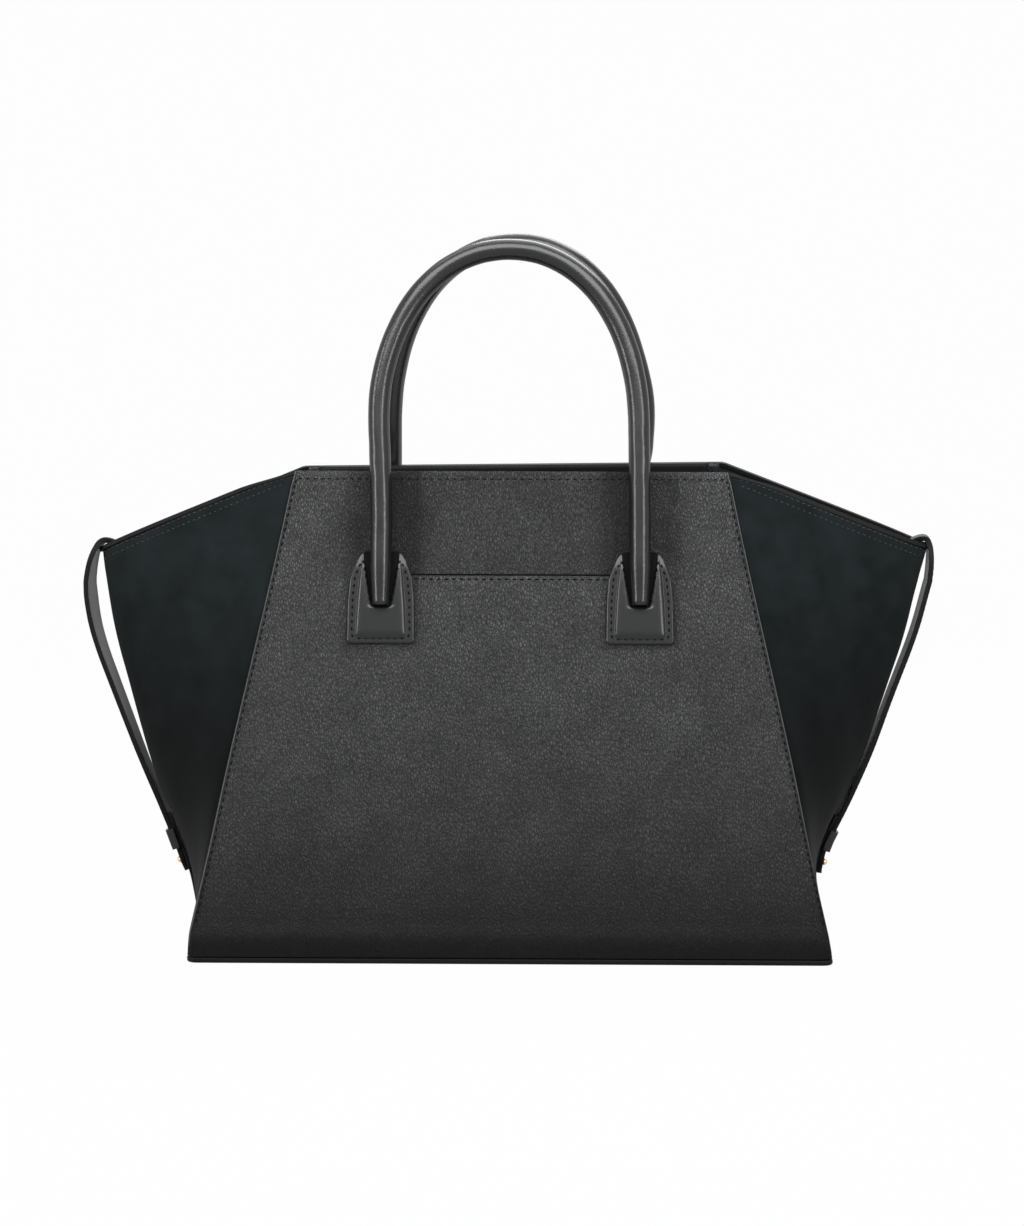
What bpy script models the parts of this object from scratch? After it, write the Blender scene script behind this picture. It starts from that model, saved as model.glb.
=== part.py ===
# Top-zip tote bag with folded side wings, rolled handles and side straps.
# Metres, +Z up, front facing -Y, origin at the centre of the underside.
import math

import bmesh
import bpy
from mathutils import Matrix, Vector

# Overall body
rim_height = 0.275
rim_panel_half_width = 0.123
base_panel_half_width = 0.1765
rim_corner_overhang = 0.0005
base_corner_overhang = 0.0025
rim_corner_half_width = rim_panel_half_width + rim_corner_overhang
base_corner_half_width = base_panel_half_width + base_corner_overhang
rim_half_depth = 0.031
base_half_depth = 0.090
wing_spread = 0.060
wing_fall = 0.047
wing_tip_half_width = base_corner_half_width + wing_spread
wing_tip_height = rim_height - wing_fall
gap = 0.0003
seam_clearance = 0.0005
weld_distance = 0.00001

# Bottom
base_thickness = 0.0035
base_corner_radius = 0.006
base_edge_inset = 0.004
panel_roll_in = 0.004
panel_roll_height = 0.018
board_thickness = 0.002
board_corner_radius = 0.004

# Leather, suede and lining
panel_thickness = 0.0020
lap_clearance = 0.00036
yoke_thickness = 0.0014
gusset_thickness = 0.0016
gusset_lap = 0.008
gusset_clearance = 0.0007
lining_thickness = 0.0008
lining_ease = 0.0008
lining_drop = 0.026
lining_clearance = 0.0015
binding_width = 0.0030
binding_height = 0.0020

# Handles
handle_half_spacing = 0.073
handle_radius = 0.0059
handle_root_tip_radius = 0.0046
handle_root_drop = 0.043
handle_root_length = 0.035
handle_root_top = rim_height - handle_root_drop
handle_root_bottom = handle_root_top - handle_root_length
handle_leg_rise = 0.023
handle_spring_height = rim_height + handle_leg_rise
front_arch_rise = 0.101
back_arch_rise = 0.105
front_handle_top = handle_spring_height + front_arch_rise
back_handle_top = handle_spring_height + back_arch_rise
handle_lean_share = 0.18
handle_arch_power = 2.1
handle_cut_gap = 0.0005

# Handle tabs
tab_length = 0.056
tab_top_height = handle_root_top
tab_bottom_height = tab_top_height - tab_length
tab_half_width = 0.019
tab_thickness = 0.0018
tab_corner_radius = 0.0015
tab_notch_bottom = handle_root_bottom - 0.0008
tab_notch_half_width = 0.0058
tab_notch_shoulder = tab_top_height - 0.006
tab_notch_shoulder_half_width = 0.0100
pad_rise = 0.0016
pad_bevel = 0.0010
pad_corner_radius = 0.0030
pad_bottom_margin = 0.0030
pad_top_drop = 0.018
pad_bottom_half_width = 0.0142
pad_top_half_width = 0.0124
pad_notch_half_width = 0.0092
pad_notch_foot_half_width = 0.0064
pad_notch_foot_drop = 0.0012

# Cut in the front panel and the yoke behind it
notch_side_margin = 0.001
notch_depth = 0.061
notch_half_width = handle_half_spacing + notch_side_margin
notch_bottom_height = rim_height - notch_depth
yoke_lap = 0.024
yoke_side_lap = 0.016
yoke_bottom_height = notch_bottom_height - yoke_lap
yoke_half_width = notch_half_width + yoke_side_lap
cut_overrun = 0.010

# Rim facing and closure
facing_height = 0.028
facing_end_margin = 0.0085
facing_half_width = rim_panel_half_width - facing_end_margin
facing_inner_offset = 0.0055
closure_drop = 0.013
closure_height = rim_height - closure_drop
flap_thickness = 0.0016
flap_end_margin = 0.0055
flap_half_length = facing_half_width - flap_end_margin
flap_inner_edge = 0.009
tape_thickness = 0.0008
tape_lap = 0.008
tooth_row_width = 0.0030
tooth_row_thickness = 0.0024
tooth_length = 0.0016
tooth_pitch = 0.0030
tooth_width = 0.0016
zip_centre_gap = 0.0010
wing_closure_lap = 0.002
wing_closure_end_margin = 0.021
wing_closure_start = rim_panel_half_width - wing_closure_lap
wing_closure_end = wing_tip_half_width - wing_closure_end_margin
wing_closure_thickness = 0.0014
zip_end_half_width = 0.007
zip_end_thickness = 0.0016
zip_end_slot_length = 0.0095
zip_end_slot_width = 0.0012

# Slider and pull
slider_park_margin = 0.006
slider_park = flap_half_length + slider_park_margin
slider_length = 0.009
slider_width = 0.011
slider_plate = 0.0012
slider_post_length = 0.002
slider_post_width = 0.0005
bridge_length = 0.006
bridge_width = 0.0024
bridge_bar = 0.0010
bridge_clear_height = 0.0020
pull_length = 0.032
pull_thickness = 0.0012
pull_eye_width = 0.0072
pull_end_width = 0.0090
pull_window_length = 0.0054
pull_window_width = 0.0034
pull_corner_radius = 0.0015

# Side straps
strap_width = 0.016
strap_thickness = 0.0030
anchor_thickness = 0.0016
anchor_bottom = 0.010
anchor_top = 0.072
strap_bottom = 0.038
strap_bow = 0.0063
strap_arch_drop = 0.020
strap_arch_height = wing_tip_height - strap_arch_drop
strap_arch_rise = 0.0234
strap_arch_setback = 0.003
strap_arch_centre = wing_tip_half_width - strap_arch_setback
strap_arch_end_degrees = 100
keeper_height = 0.058
keeper_length = 0.012
keeper_wall = 0.0014
keeper_slack = 0.0006
stud_height = 0.044
stud_radius = 0.0022
stud_rise = 0.0026

# Inner pocket
pocket_width = 0.150
pocket_depth = 0.090
pocket_bottom_height = 0.105
pocket_corner_radius = 0.006

# Counts
gusset_columns = 20
panel_columns = 8
arc_steps = 4
handle_arch_steps = 28
strap_steps = 16
strap_arch_steps = 9
wing_closure_steps = 3
edge_search_steps = 12
tube_roundness = 3
stud_steps = 16
soft_edge_segments = 2
sharp_edge_degrees = 40
bevelled_edge_degrees = 50

# Shares of the wing's spread against shares of the wing tip's height
ridge_shares = (
    (0.00, 0.00), (0.11, 0.03), (0.20, 0.09), (0.45, 0.425),
    (0.61, 0.61), (0.77, 0.81), (0.95, 0.95), (1.00, 1.00),
)
# Shares of the strap's bow against shares of the wing tip's height
strap_bow_shares = (
    (0.00, 0.00), (0.30, 0.00), (0.45, 0.25), (0.59, 0.48),
    (0.76, 0.92), (0.84, 0.98), (0.912, 0.80), (1.00, 0.50),
)
# Radius and rise of the stud's profile, from its crown to its foot
stud_profile_shares = ((0, 1), (0.45, 0.93), (0.8, 0.66), (0.95, 0.3), (0.7, 0), (0, 0))
ridge_softness_share = 0.25
# Rows of a side wall, as shares of the wing tip's height below the last two
wall_row_shares = (0.0, 0.11, 0.20, 0.32, 0.45, 0.61, 0.77, 0.90, 1.0)
leg_row_shares = (0.0, 0.33, 0.66)
root_row_shares = (0.0, 0.25, 0.6, 1.0)
root_taper_share = 0.6
# Half widths of a handle tab against shares of its length, from its foot up
tab_side_shares = (
    (0.0, 1.0), (0.44, 0.98), (0.64, 0.93), (0.75, 0.83), (0.84, 0.70), (1.0, 0.57),
)
panel_row_shares = (0.0, 0.015, 0.035, 0.06, 0.3, 0.65, 1.0)

rim_lean = math.atan2(base_half_depth - rim_half_depth, rim_height)
lean_cos = math.cos(rim_lean)
lap_offset = panel_thickness / lean_cos + lap_clearance
slider_floor = closure_height - gap - tape_thickness / 2


def clear_scene():
    for old in list(bpy.data.objects):
        bpy.data.objects.remove(old, do_unlink=True)


def make_collection(name):
    collection = bpy.data.collections.new(name)
    bpy.context.scene.collection.children.link(collection)
    return collection


def make_material(name, colour, roughness, metallic=0.0):
    material = bpy.data.materials.new(name)
    material.use_nodes = True
    shader = material.node_tree.nodes["Principled BSDF"]
    shader.inputs["Base Color"].default_value = (*colour, 1.0)
    shader.inputs["Roughness"].default_value = roughness
    shader.inputs["Metallic"].default_value = metallic
    return material


# Section rules of the bag body

def mix(low, high, share):
    return low + (high - low) * share


def read_shares(table, share):
    for (low, low_value), (high, high_value) in zip(table, table[1:]):
        if share <= high:
            return mix(low_value, high_value, (share - low) / (high - low))
    return table[-1][1]


def half_depth(z):
    """Outer face of the front panel, measured from the middle."""
    straight = mix(base_half_depth, rim_half_depth, z / rim_height)
    above_base = z - base_thickness - gap
    if above_base >= panel_roll_height:
        return straight
    return straight - panel_roll_in * (1 - above_base / panel_roll_height) ** 2


def panel_half_width(z):
    return mix(base_panel_half_width, rim_panel_half_width, z / rim_height)


def corner_half_width(z):
    return mix(base_corner_half_width, rim_corner_half_width, z / rim_height)


def ridge_half_width(z):
    share = min(z / wing_tip_height, 1.0)
    spread = wing_tip_half_width - base_corner_half_width
    return base_corner_half_width + spread * read_shares(ridge_shares, share)


def wing_edge_height(x):
    """The wing's straight top edge, from the rim corner down to the tip."""
    share = (x - rim_corner_half_width) / (wing_tip_half_width - rim_corner_half_width)
    return mix(rim_height, wing_tip_height, min(max(share, 0.0), 1.0))


def gusset_section(z, inset):
    """Corner x, corner y and ridge x of the gusset at one height, set inwards."""
    depth = half_depth(z) - lap_offset
    ridge = ridge_half_width(z)
    corner = corner_half_width(z)
    spread = math.atan2(depth, ridge - corner)
    inner_ridge = ridge - inset / math.sin(spread)
    inner_depth = depth - inset
    inner_corner = ridge - (inset + inner_depth * math.cos(spread)) / math.sin(spread)
    return inner_corner, inner_depth, inner_ridge


def gusset_point(across, z, inset):
    """A point of the right gusset, across from -1 at the front to 1 at the back."""
    corner, depth, ridge = gusset_section(z, inset)
    soft = ridge_softness_share
    fold = (math.hypot(across, soft) - soft) / (math.hypot(1, soft) - soft)
    return Vector((mix(ridge, corner, fold), across * depth, z))


def gusset_top(across, inset, drop):
    """The height where a column of the gusset meets the wing's top edge."""
    z = mix(wing_tip_height, rim_height, abs(across)) - drop
    for _ in range(edge_search_steps):
        z = wing_edge_height(gusset_point(across, min(z, rim_height), inset).x) - drop
    return z


def panel_frame(side, height, offset, x=0.0):
    """A frame on the leaning panel: X across, Y up the slope, Z outwards."""
    lean = Matrix.Rotation(math.pi / 2 - rim_lean, 4, "X")
    y = -mix(base_half_depth, rim_half_depth, height / rim_height)
    outward = Vector((0, -math.cos(rim_lean), math.sin(rim_lean)))
    place = Matrix.Translation(Vector((x, y, height)) + outward * offset)
    turn = Matrix.Rotation(0 if side < 0 else math.pi, 4, "Z")
    return turn @ place @ lean


# Makers

def link(obj, material, collection):
    obj.data.materials.clear()
    obj.data.materials.append(material)
    collection.objects.link(obj)
    return obj


def mesh_object(name, bm, material, collection, pivot=None):
    if pivot is not None:
        bmesh.ops.translate(bm, verts=bm.verts, vec=-Vector(pivot))
    mesh = bpy.data.meshes.new(name)
    bm.to_mesh(mesh)
    bm.free()
    mesh.shade_smooth()
    mesh.set_sharp_from_angle(angle=math.radians(sharp_edge_degrees))
    obj = link(bpy.data.objects.new(name, mesh), material, collection)
    if pivot is not None:
        obj.location = pivot
    return obj


def grid_mesh(rows, centre, closed=False, bottom=False):
    """A surface through rows of points, with its faces away from the centre."""
    bm = bmesh.new()
    grid = [[bm.verts.new(point) for point in row] for row in rows]
    columns = len(grid[0])
    for lower, upper in zip(grid, grid[1:]):
        for index in range(columns if closed else columns - 1):
            after = (index + 1) % columns
            bm.faces.new((lower[index], lower[after], upper[after], upper[index]))
    if bottom:
        bm.faces.new(list(reversed(grid[0])))
    bm.normal_update()
    bm.faces.ensure_lookup_table()
    middle = bm.faces[len(bm.faces) // 2 if not closed else 0]
    if middle.normal.dot(middle.calc_center_median() - Vector(centre)) < 0:
        bmesh.ops.reverse_faces(bm, faces=bm.faces)
    return bm


def thicken(obj, thickness):
    shell = obj.modifiers.new("wall", "SOLIDIFY")
    shell.thickness = thickness
    shell.offset = -1
    shell.use_even_offset = True
    return obj


def turned(rows, side):
    """The rows as they stand on the right, or half a turn round on the left."""
    return [[Vector((p.x * side, p.y * side, p.z)) for p in row] for row in rows]


def outline_curve(name, outlines, thickness, material, collection, matrix, bevel=0.0):
    """A flat outline, filled, with its thickness along the frame's Z."""
    curve = bpy.data.curves.new(name, "CURVE")
    curve.dimensions = "2D"
    curve.fill_mode = "BOTH"
    curve.extrude = thickness / 2
    curve.resolution_u = 1
    for points in outlines:
        spline = curve.splines.new("POLY")
        spline.points.add(len(points) - 1)
        for point, (x, y) in zip(spline.points, points):
            point.co = (x, y, 0, 1)
        spline.use_cyclic_u = True
    obj = link(bpy.data.objects.new(name, curve), material, collection)
    obj.matrix_world = matrix
    if bevel:
        weld = obj.modifiers.new("weld", "WELD")
        weld.merge_threshold = weld_distance
        edge = obj.modifiers.new("edge", "BEVEL")
        edge.width = bevel
        edge.segments = soft_edge_segments
        edge.limit_method = "ANGLE"
        edge.angle_limit = math.radians(bevelled_edge_degrees)
    return obj


def curve_to_mesh(obj, collection):
    """The same piece as a welded mesh, so that it can be cut or joined."""
    evaluated = obj.evaluated_get(bpy.context.evaluated_depsgraph_get())
    mesh = bpy.data.meshes.new_from_object(evaluated)
    bm = bmesh.new()
    bm.from_mesh(mesh)
    bmesh.ops.remove_doubles(bm, verts=bm.verts, dist=weld_distance)
    bm.to_mesh(mesh)
    bm.free()
    name = obj.name
    matrix = obj.matrix_world.copy()
    bpy.data.objects.remove(obj, do_unlink=True)
    new = bpy.data.objects.new(name, mesh)
    collection.objects.link(new)
    new.name = name
    new.matrix_world = matrix
    return new


def stand_on_pivot(obj, pivot):
    """Moves a mesh piece's origin to its joint and leaves the piece in place."""
    place = Matrix.Translation(pivot)
    obj.data.transform(place.inverted() @ obj.matrix_world)
    obj.matrix_world = place


def combine(obj, cutter, operation):
    modifier = obj.modifiers.new(operation.lower(), "BOOLEAN")
    modifier.operation = operation
    modifier.solver = "EXACT"
    modifier.object = cutter
    cutter.hide_render = True
    cutter.display_type = "WIRE"


def box_object(name, low, high, collection, material=None, matrix=None):
    bm = bmesh.new()
    bmesh.ops.create_cube(bm, size=1)
    size = Vector(high) - Vector(low)
    middle = (Vector(high) + Vector(low)) / 2
    bmesh.ops.scale(bm, verts=bm.verts, vec=size)
    bmesh.ops.translate(bm, verts=bm.verts, vec=middle)
    mesh = bpy.data.meshes.new(name)
    bm.to_mesh(mesh)
    bm.free()
    obj = bpy.data.objects.new(name, mesh)
    collection.objects.link(obj)
    if material is not None:
        mesh.materials.append(material)
    if matrix is not None:
        obj.matrix_world = matrix
    return obj


def rounded(points, radius):
    """A closed outline with each corner turned by an arc of the radius."""
    result = []
    count = len(points)
    for index in range(count):
        corner = Vector(points[index])
        before = Vector(points[index - 1]) - corner
        after = Vector(points[(index + 1) % count]) - corner
        angle = before.angle(after)
        reach = min(radius / math.tan(angle / 2), before.length / 2, after.length / 2)
        arc_radius = reach * math.tan(angle / 2)
        bisector = (before.normalized() + after.normalized()).normalized()
        centre = corner + bisector * (arc_radius / math.sin(angle / 2))
        start = corner + before.normalized() * reach - centre
        end = corner + after.normalized() * reach - centre
        sweep = start.angle_signed(end)
        for step in range(arc_steps + 1):
            turn = Matrix.Rotation(-sweep * step / arc_steps, 2)
            result.append(tuple(centre + turn @ start))
    return result


def rectangle(half_x, low_y, high_y):
    return [(-half_x, low_y), (half_x, low_y), (half_x, high_y), (-half_x, high_y)]


def ribbon(points, thickness):
    """A path thickened to its left, as a closed outline."""
    outer = []
    for index, point in enumerate(points):
        before = points[max(index - 1, 0)]
        after = points[min(index + 1, len(points) - 1)]
        along = (Vector(after) - Vector(before)).normalized()
        outer.append((point[0] + along.y * thickness, point[1] - along.x * thickness))
    return list(points) + outer[::-1]


def tube(name, points, radii, material, collection, pivot=None):
    curve = bpy.data.curves.new(name, "CURVE")
    curve.dimensions = "3D"
    curve.bevel_depth = handle_radius
    curve.bevel_resolution = tube_roundness
    curve.use_fill_caps = True
    curve.resolution_u = 1
    spline = curve.splines.new("POLY")
    spline.points.add(len(points) - 1)
    origin = Vector(pivot) if pivot is not None else Vector((0, 0, 0))
    for node, point, radius in zip(spline.points, points, radii):
        node.co = (*(Vector(point) - origin), 1)
        node.radius = radius / handle_radius
    obj = link(bpy.data.objects.new(name, curve), material, collection)
    obj.location = origin
    return obj


# Bottom, panels and gussets

def build_base(parts, leather, board):
    half_x = base_corner_half_width - gap
    half_y = base_half_depth - base_edge_inset
    outline = rounded(rectangle(half_x, -half_y, half_y), base_corner_radius)
    place = Matrix.Translation((0, 0, base_thickness / 2))
    outline_curve("base_panel", [outline], base_thickness, leather, parts, place)
    floor = base_thickness + gap
    inner_x = corner_half_width(floor + board_thickness) - gusset_thickness - 2 * gap
    inner_y = half_depth(floor) - lap_offset - gusset_thickness - 2 * gap
    outline = rounded(rectangle(inner_x, -inner_y, inner_y), board_corner_radius)
    place = Matrix.Translation((0, 0, floor + board_thickness / 2))
    outline_curve("base_board", [outline], board_thickness, board, parts, place)


def build_panel(name, side, parts, leather):
    floor = base_thickness + gap
    rows = []
    for share in panel_row_shares:
        z = mix(floor, rim_height, share)
        reach = panel_half_width(z)
        y = half_depth(z)
        row = []
        for index in range(panel_columns + 1):
            x = mix(-reach, reach, index / panel_columns)
            row.append(Vector((x, y, z)))
        rows.append(row)
    bm = grid_mesh(turned(rows, side), (0, 0, rim_height / 2))
    return thicken(mesh_object(name, bm, leather, parts), panel_thickness)


def cut_yoke_notch(panel, cutters):
    low = (-notch_half_width, -base_half_depth, notch_bottom_height)
    high = (notch_half_width, 0, rim_height + cut_overrun)
    combine(panel, box_object("yoke_notch", low, high, cutters), "DIFFERENCE")


def build_yoke(parts, leather):
    offset = -lap_offset * lean_cos - yoke_thickness / 2
    low = yoke_bottom_height / lean_cos
    high = rim_height / lean_cos
    outline = rectangle(yoke_half_width, low, high)
    frame = panel_frame(-1, 0.0, offset)
    outline_curve("front_yoke", [outline], yoke_thickness, leather, parts, frame)


def wall_height(share, floor, top):
    """Level rows up to the last share, then even steps to the wall's own top."""
    level = wall_row_shares[-3]
    if share <= level:
        return max(floor, share * wing_tip_height)
    return mix(level * wing_tip_height, top, (share - level) / (1 - level))


def gusset_columns_across(lap):
    across = [mix(-1, 1, i / gusset_columns) for i in range(gusset_columns + 1)]
    return [None] + across + [None] if lap else across


def gusset_band(name, side, low, high, thickness, inset, lap, material, parts):
    """A wall that follows the gusset between two edge rules."""
    rows = []
    shares = wall_row_shares if lap else (0.0, 1.0)
    for share in shares:
        row = []
        for index, across in enumerate(gusset_columns_across(lap)):
            edge = across if across is not None else (-1 if index == 0 else 1)
            if lap:
                z = wall_height(share, low(edge), high(edge))
            else:
                z = mix(low(edge), high(edge), share)
            point = gusset_point(edge, z, inset)
            if across is None:
                point.x -= gusset_lap
            row.append(point)
        rows.append(row)
    bm = grid_mesh(turned(rows, side), (0, 0, wing_tip_height / 2))
    return thicken(mesh_object(name, bm, material, parts), thickness)


def build_side(word, side, parts, suede, leather):
    floor = base_thickness + gusset_clearance

    def bottom(_across):
        return floor

    def suede_top(across):
        return gusset_top(across, 0.0, binding_height + gap)

    def binding_low(across):
        return gusset_top(across, 0.0, binding_height)

    def binding_top(across):
        return gusset_top(across, 0.0, 0.0)

    gusset_band(
        word + "_gusset", side, bottom, suede_top, gusset_thickness, 0.0, True, suede, parts)
    gusset_band(
        word + "_wing_binding", side, binding_low, binding_top, binding_width, 0.0, False,
        leather, parts)


def build_lining(parts, cloth):
    """One lining bag with a bottom, open at its mouth."""
    floor = base_thickness + board_thickness + 3 * gap
    inset = gusset_thickness + lining_ease
    rows = []
    for share in wall_row_shares:
        right = []
        for index in range(gusset_columns + 1):
            across = mix(-1, 1, index / gusset_columns)
            rim = rim_height - facing_height - lining_clearance
            top = min(gusset_top(across, inset, lining_drop), rim)
            right.append(gusset_point(across, wall_height(share, floor, top), inset))
        left = [Vector((-p.x, -p.y, p.z)) for p in right]
        rows.append(right + left)
    bm = grid_mesh(rows, (0, 0, rim_height / 2), closed=True, bottom=True)
    thicken(mesh_object("lining", bm, cloth, parts), lining_thickness)


def build_inner_pocket(parts, cloth):
    depth = (lap_offset + gusset_thickness + lining_ease + lining_thickness) * lean_cos
    offset = -(depth + gap * 2 + lining_thickness / 2)
    low = pocket_bottom_height / lean_cos
    outline = rectangle(pocket_width / 2, low, low + pocket_depth)
    outline = rounded(outline, pocket_corner_radius)
    frame = panel_frame(1, 0.0, offset)
    outline_curve("inner_pocket", [outline], lining_thickness, cloth, parts, frame)


# Rim facings and the zip closure

def build_facing(name, side, outer_offset, parts, leather):
    thickness = (facing_inner_offset - outer_offset) * lean_cos
    offset = -outer_offset * lean_cos - thickness / 2
    low = (rim_height - facing_height) / lean_cos
    high = (rim_height - gap) / lean_cos
    outline = rectangle(facing_half_width, low, high)
    outline_curve(name, [outline], thickness, leather, parts, panel_frame(side, 0.0, offset))


def flap_outer_edge():
    top = closure_height + flap_thickness
    return half_depth(top) - facing_inner_offset - gap


def tooth_outline():
    """A comb: a solid bead with teeth towards the centre line."""
    root = zip_centre_gap / 2 + tooth_length
    back = zip_centre_gap / 2 + tooth_row_width
    tip = zip_centre_gap / 2
    half = flap_half_length - seam_clearance
    count = int((2 * half - tooth_width) / tooth_pitch)
    points = [(-half, -back), (half, -back), (half, -root)]
    for index in range(count, -1, -1):
        centre = (index - count / 2) * tooth_pitch
        points.append((centre + tooth_width / 2, -root))
        points.append((centre + tooth_width / 2, -tip))
        points.append((centre - tooth_width / 2, -tip))
        points.append((centre - tooth_width / 2, -root))
    points.append((-half, -root))
    return points


def build_closure_half(word, side, parts, materials):
    """Flap, tape and teeth that swing together about the flap's seam."""
    edge = flap_outer_edge()
    turn = Matrix.Rotation(0 if side < 0 else math.pi, 4, "Z")
    height = closure_height + flap_thickness / 2
    outline = rectangle(flap_half_length, -edge, -flap_inner_edge)
    pieces = [("closure_flap", outline, flap_thickness, height, "leather")]
    tape_middle = closure_height - gap - tape_thickness / 2
    tape_inner = zip_centre_gap / 2 + tooth_row_width + gap
    outline = rectangle(flap_half_length, -flap_inner_edge - tape_lap, -tape_inner)
    pieces.append(("zip_tape", outline, tape_thickness, tape_middle, "tape"))
    pieces.append(("zip_teeth", tooth_outline(), tooth_row_thickness, tape_middle, "metal"))
    for name, points, thickness, z, key in pieces:
        place = turn @ Matrix.Translation((0, 0, z))
        obj = outline_curve(
            word + "_" + name, [points], thickness, materials[key], parts, place)
        stand_on_pivot(curve_to_mesh(obj, parts), (0, side * edge, closure_height))


def wing_closure_half_depth(x):
    """Room between the wing's walls, on the closure's sloping plane."""
    z = wing_edge_height(x) - (rim_height - closure_height)
    depth = half_depth(z) - lap_offset
    ridge = ridge_half_width(z)
    spread = math.atan2(depth, ridge - corner_half_width(z))
    wall = (gusset_thickness + 2 * gap) / math.cos(spread)
    return min((ridge - x) * math.tan(spread), depth) - wall


def build_wing_closure(word, side, parts, materials):
    """The fixed sloping panel over a wing, and the zip's sewn end."""
    fall = rim_height - wing_tip_height
    slope = math.atan2(fall, wing_tip_half_width - rim_corner_half_width)
    stations = []
    for step in range(wing_closure_steps + 1):
        stations.append(mix(wing_closure_start, wing_closure_end, step / wing_closure_steps))
    near = [((x - wing_closure_start) / math.cos(slope), -wing_closure_half_depth(x))
            for x in stations]
    far = [(u, -v) for u, v in reversed(near)]
    turn = Matrix.Rotation(0 if side > 0 else math.pi, 4, "Z")
    place = Matrix.Translation((wing_closure_start, 0, closure_height))
    tilt = Matrix.Rotation(slope, 4, "Y")
    outline_curve(
        word + "_wing_closure", [near + far], wing_closure_thickness, materials["leather"],
        parts, turn @ place @ tilt)
    start = flap_half_length + seam_clearance
    stop = wing_closure_start - seam_clearance
    slot = zip_end_slot_width / 2
    half = zip_end_half_width
    points = [
        (start, -half), (stop, -half), (stop, half), (start, half), (start, slot),
        (start + zip_end_slot_length, slot), (start + zip_end_slot_length, -slot),
        (start, -slot),
    ]
    place = Matrix.Translation((0, 0, slider_floor))
    outline_curve(
        word + "_zip_end", [points], zip_end_thickness, materials["tape"], parts, turn @ place)


def build_slider(parts, cutters, metal):
    low = slider_floor - tooth_row_thickness / 2 - gap
    high = slider_floor + tooth_row_thickness / 2 + gap
    half_x = slider_length / 2
    half_y = slider_width / 2
    pivot = Matrix.Translation((slider_park, 0, 0))

    def plate(name, z):
        outline = rounded(rectangle(half_x, -half_y, half_y), half_y / 2)
        place = pivot @ Matrix.Translation((0, 0, z))
        return outline_curve(name, [outline], slider_plate, metal, parts, place)

    slider = curve_to_mesh(plate("zip_slider", high + slider_plate / 2), parts)
    under = curve_to_mesh(plate("slider_under_plate", low - slider_plate / 2), cutters)
    half_post = slider_post_length / 2
    post = box_object(
        "slider_post", (-half_post, -slider_post_width / 2, low - slider_plate / 2),
        (half_post, slider_post_width / 2, high + slider_plate / 2), cutters, matrix=pivot)
    top = high + slider_plate
    half = bridge_length / 2
    inner = half - bridge_bar
    crown = top + bridge_clear_height
    foot = top - slider_plate / 2
    arch = [
        (-half, foot), (-inner, foot), (-inner, crown), (inner, crown), (inner, foot),
        (half, foot), (half, crown + bridge_bar), (-half, crown + bridge_bar),
    ]
    upright = pivot @ Matrix.Rotation(math.pi / 2, 4, "X")
    bridge = outline_curve("slider_bridge", [arch], bridge_width, metal, cutters, upright)
    bridge = curve_to_mesh(bridge, cutters)
    for extra in (post, under, bridge):
        combine(slider, extra, "UNION")
    return top + bridge_clear_height / 2


def build_pull(axis_height, parts, metal):
    bar = pull_thickness / 2
    eye = pull_eye_width / 2
    end = pull_end_width / 2
    outer = [
        (bar, -eye), (bar, eye), (-pull_window_length - 2 * bar, eye),
        (-pull_length, end), (-pull_length, -end), (-pull_window_length - 2 * bar, -eye),
    ]
    window = pull_window_width / 2
    inner = [
        (-bar, -window), (-bar, window), (-bar - pull_window_length, window),
        (-bar - pull_window_length, -window),
    ]
    place = Matrix.Translation((slider_park, 0, axis_height))
    outlines = [rounded(outer, pull_corner_radius / 2), inner]
    outline_curve("zip_pull", outlines, pull_thickness, metal, parts, place)


# Handles

def root_point(side, height, radius, x):
    """The tube's centre where it lies on the panel at one height."""
    return panel_frame(side, height, gap + radius, x).translation


def build_handle(word, side, top, parts, leather):
    seat = root_point(-1, handle_root_top, handle_radius, 0.0)
    start = seat.z + handle_cut_gap
    path = []
    for share in leg_row_shares:
        path.append((-handle_half_spacing, mix(start, handle_spring_height, share)))
    power = 2 / handle_arch_power
    for step in range(handle_arch_steps + 1):
        angle = math.pi * (1 - step / handle_arch_steps)
        reach = math.copysign(abs(math.cos(angle)) ** power, math.cos(angle))
        rise = abs(math.sin(angle)) ** power
        path.append((handle_half_spacing * reach, mix(handle_spring_height, top, rise)))
    path += [(-x, z) for x, z in reversed(path[:len(leg_row_shares)])]
    points = []
    for x, z in path:
        y = seat.y + (z - seat.z) * handle_lean_share
        points.append((-x * side, -y * side, z))
    pivot = (0, -side * (seat.y - handle_radius), seat.z)
    radii = [handle_radius] * len(points)
    tube(word + "_handle", points, radii, leather, parts, pivot)
    for hand, sign in (("left", -1), ("right", 1)):
        root = []
        radii = []
        for share in root_row_shares:
            height = mix(handle_root_bottom, handle_root_top, share)
            swell = min(share / root_taper_share, 1.0)
            radius = mix(handle_root_tip_radius, handle_radius, swell)
            root.append(root_point(side, height, radius, -sign * side * handle_half_spacing))
            radii.append(radius)
        tube(word + "_handle_root_" + hand, root, radii, leather, parts)


def tab_outline():
    """The tab with a notch at its top for the handle's root."""
    half = []
    for height_share, width_share in tab_side_shares:
        z = mix(tab_bottom_height, tab_top_height, height_share)
        half.append((tab_half_width * width_share, z))
    half.append((tab_notch_shoulder_half_width, tab_notch_shoulder))
    half.append((tab_notch_half_width, tab_notch_bottom))
    full = half + [(-x, z) for x, z in reversed(half)]
    return [(x, z / lean_cos) for x, z in full]


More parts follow.
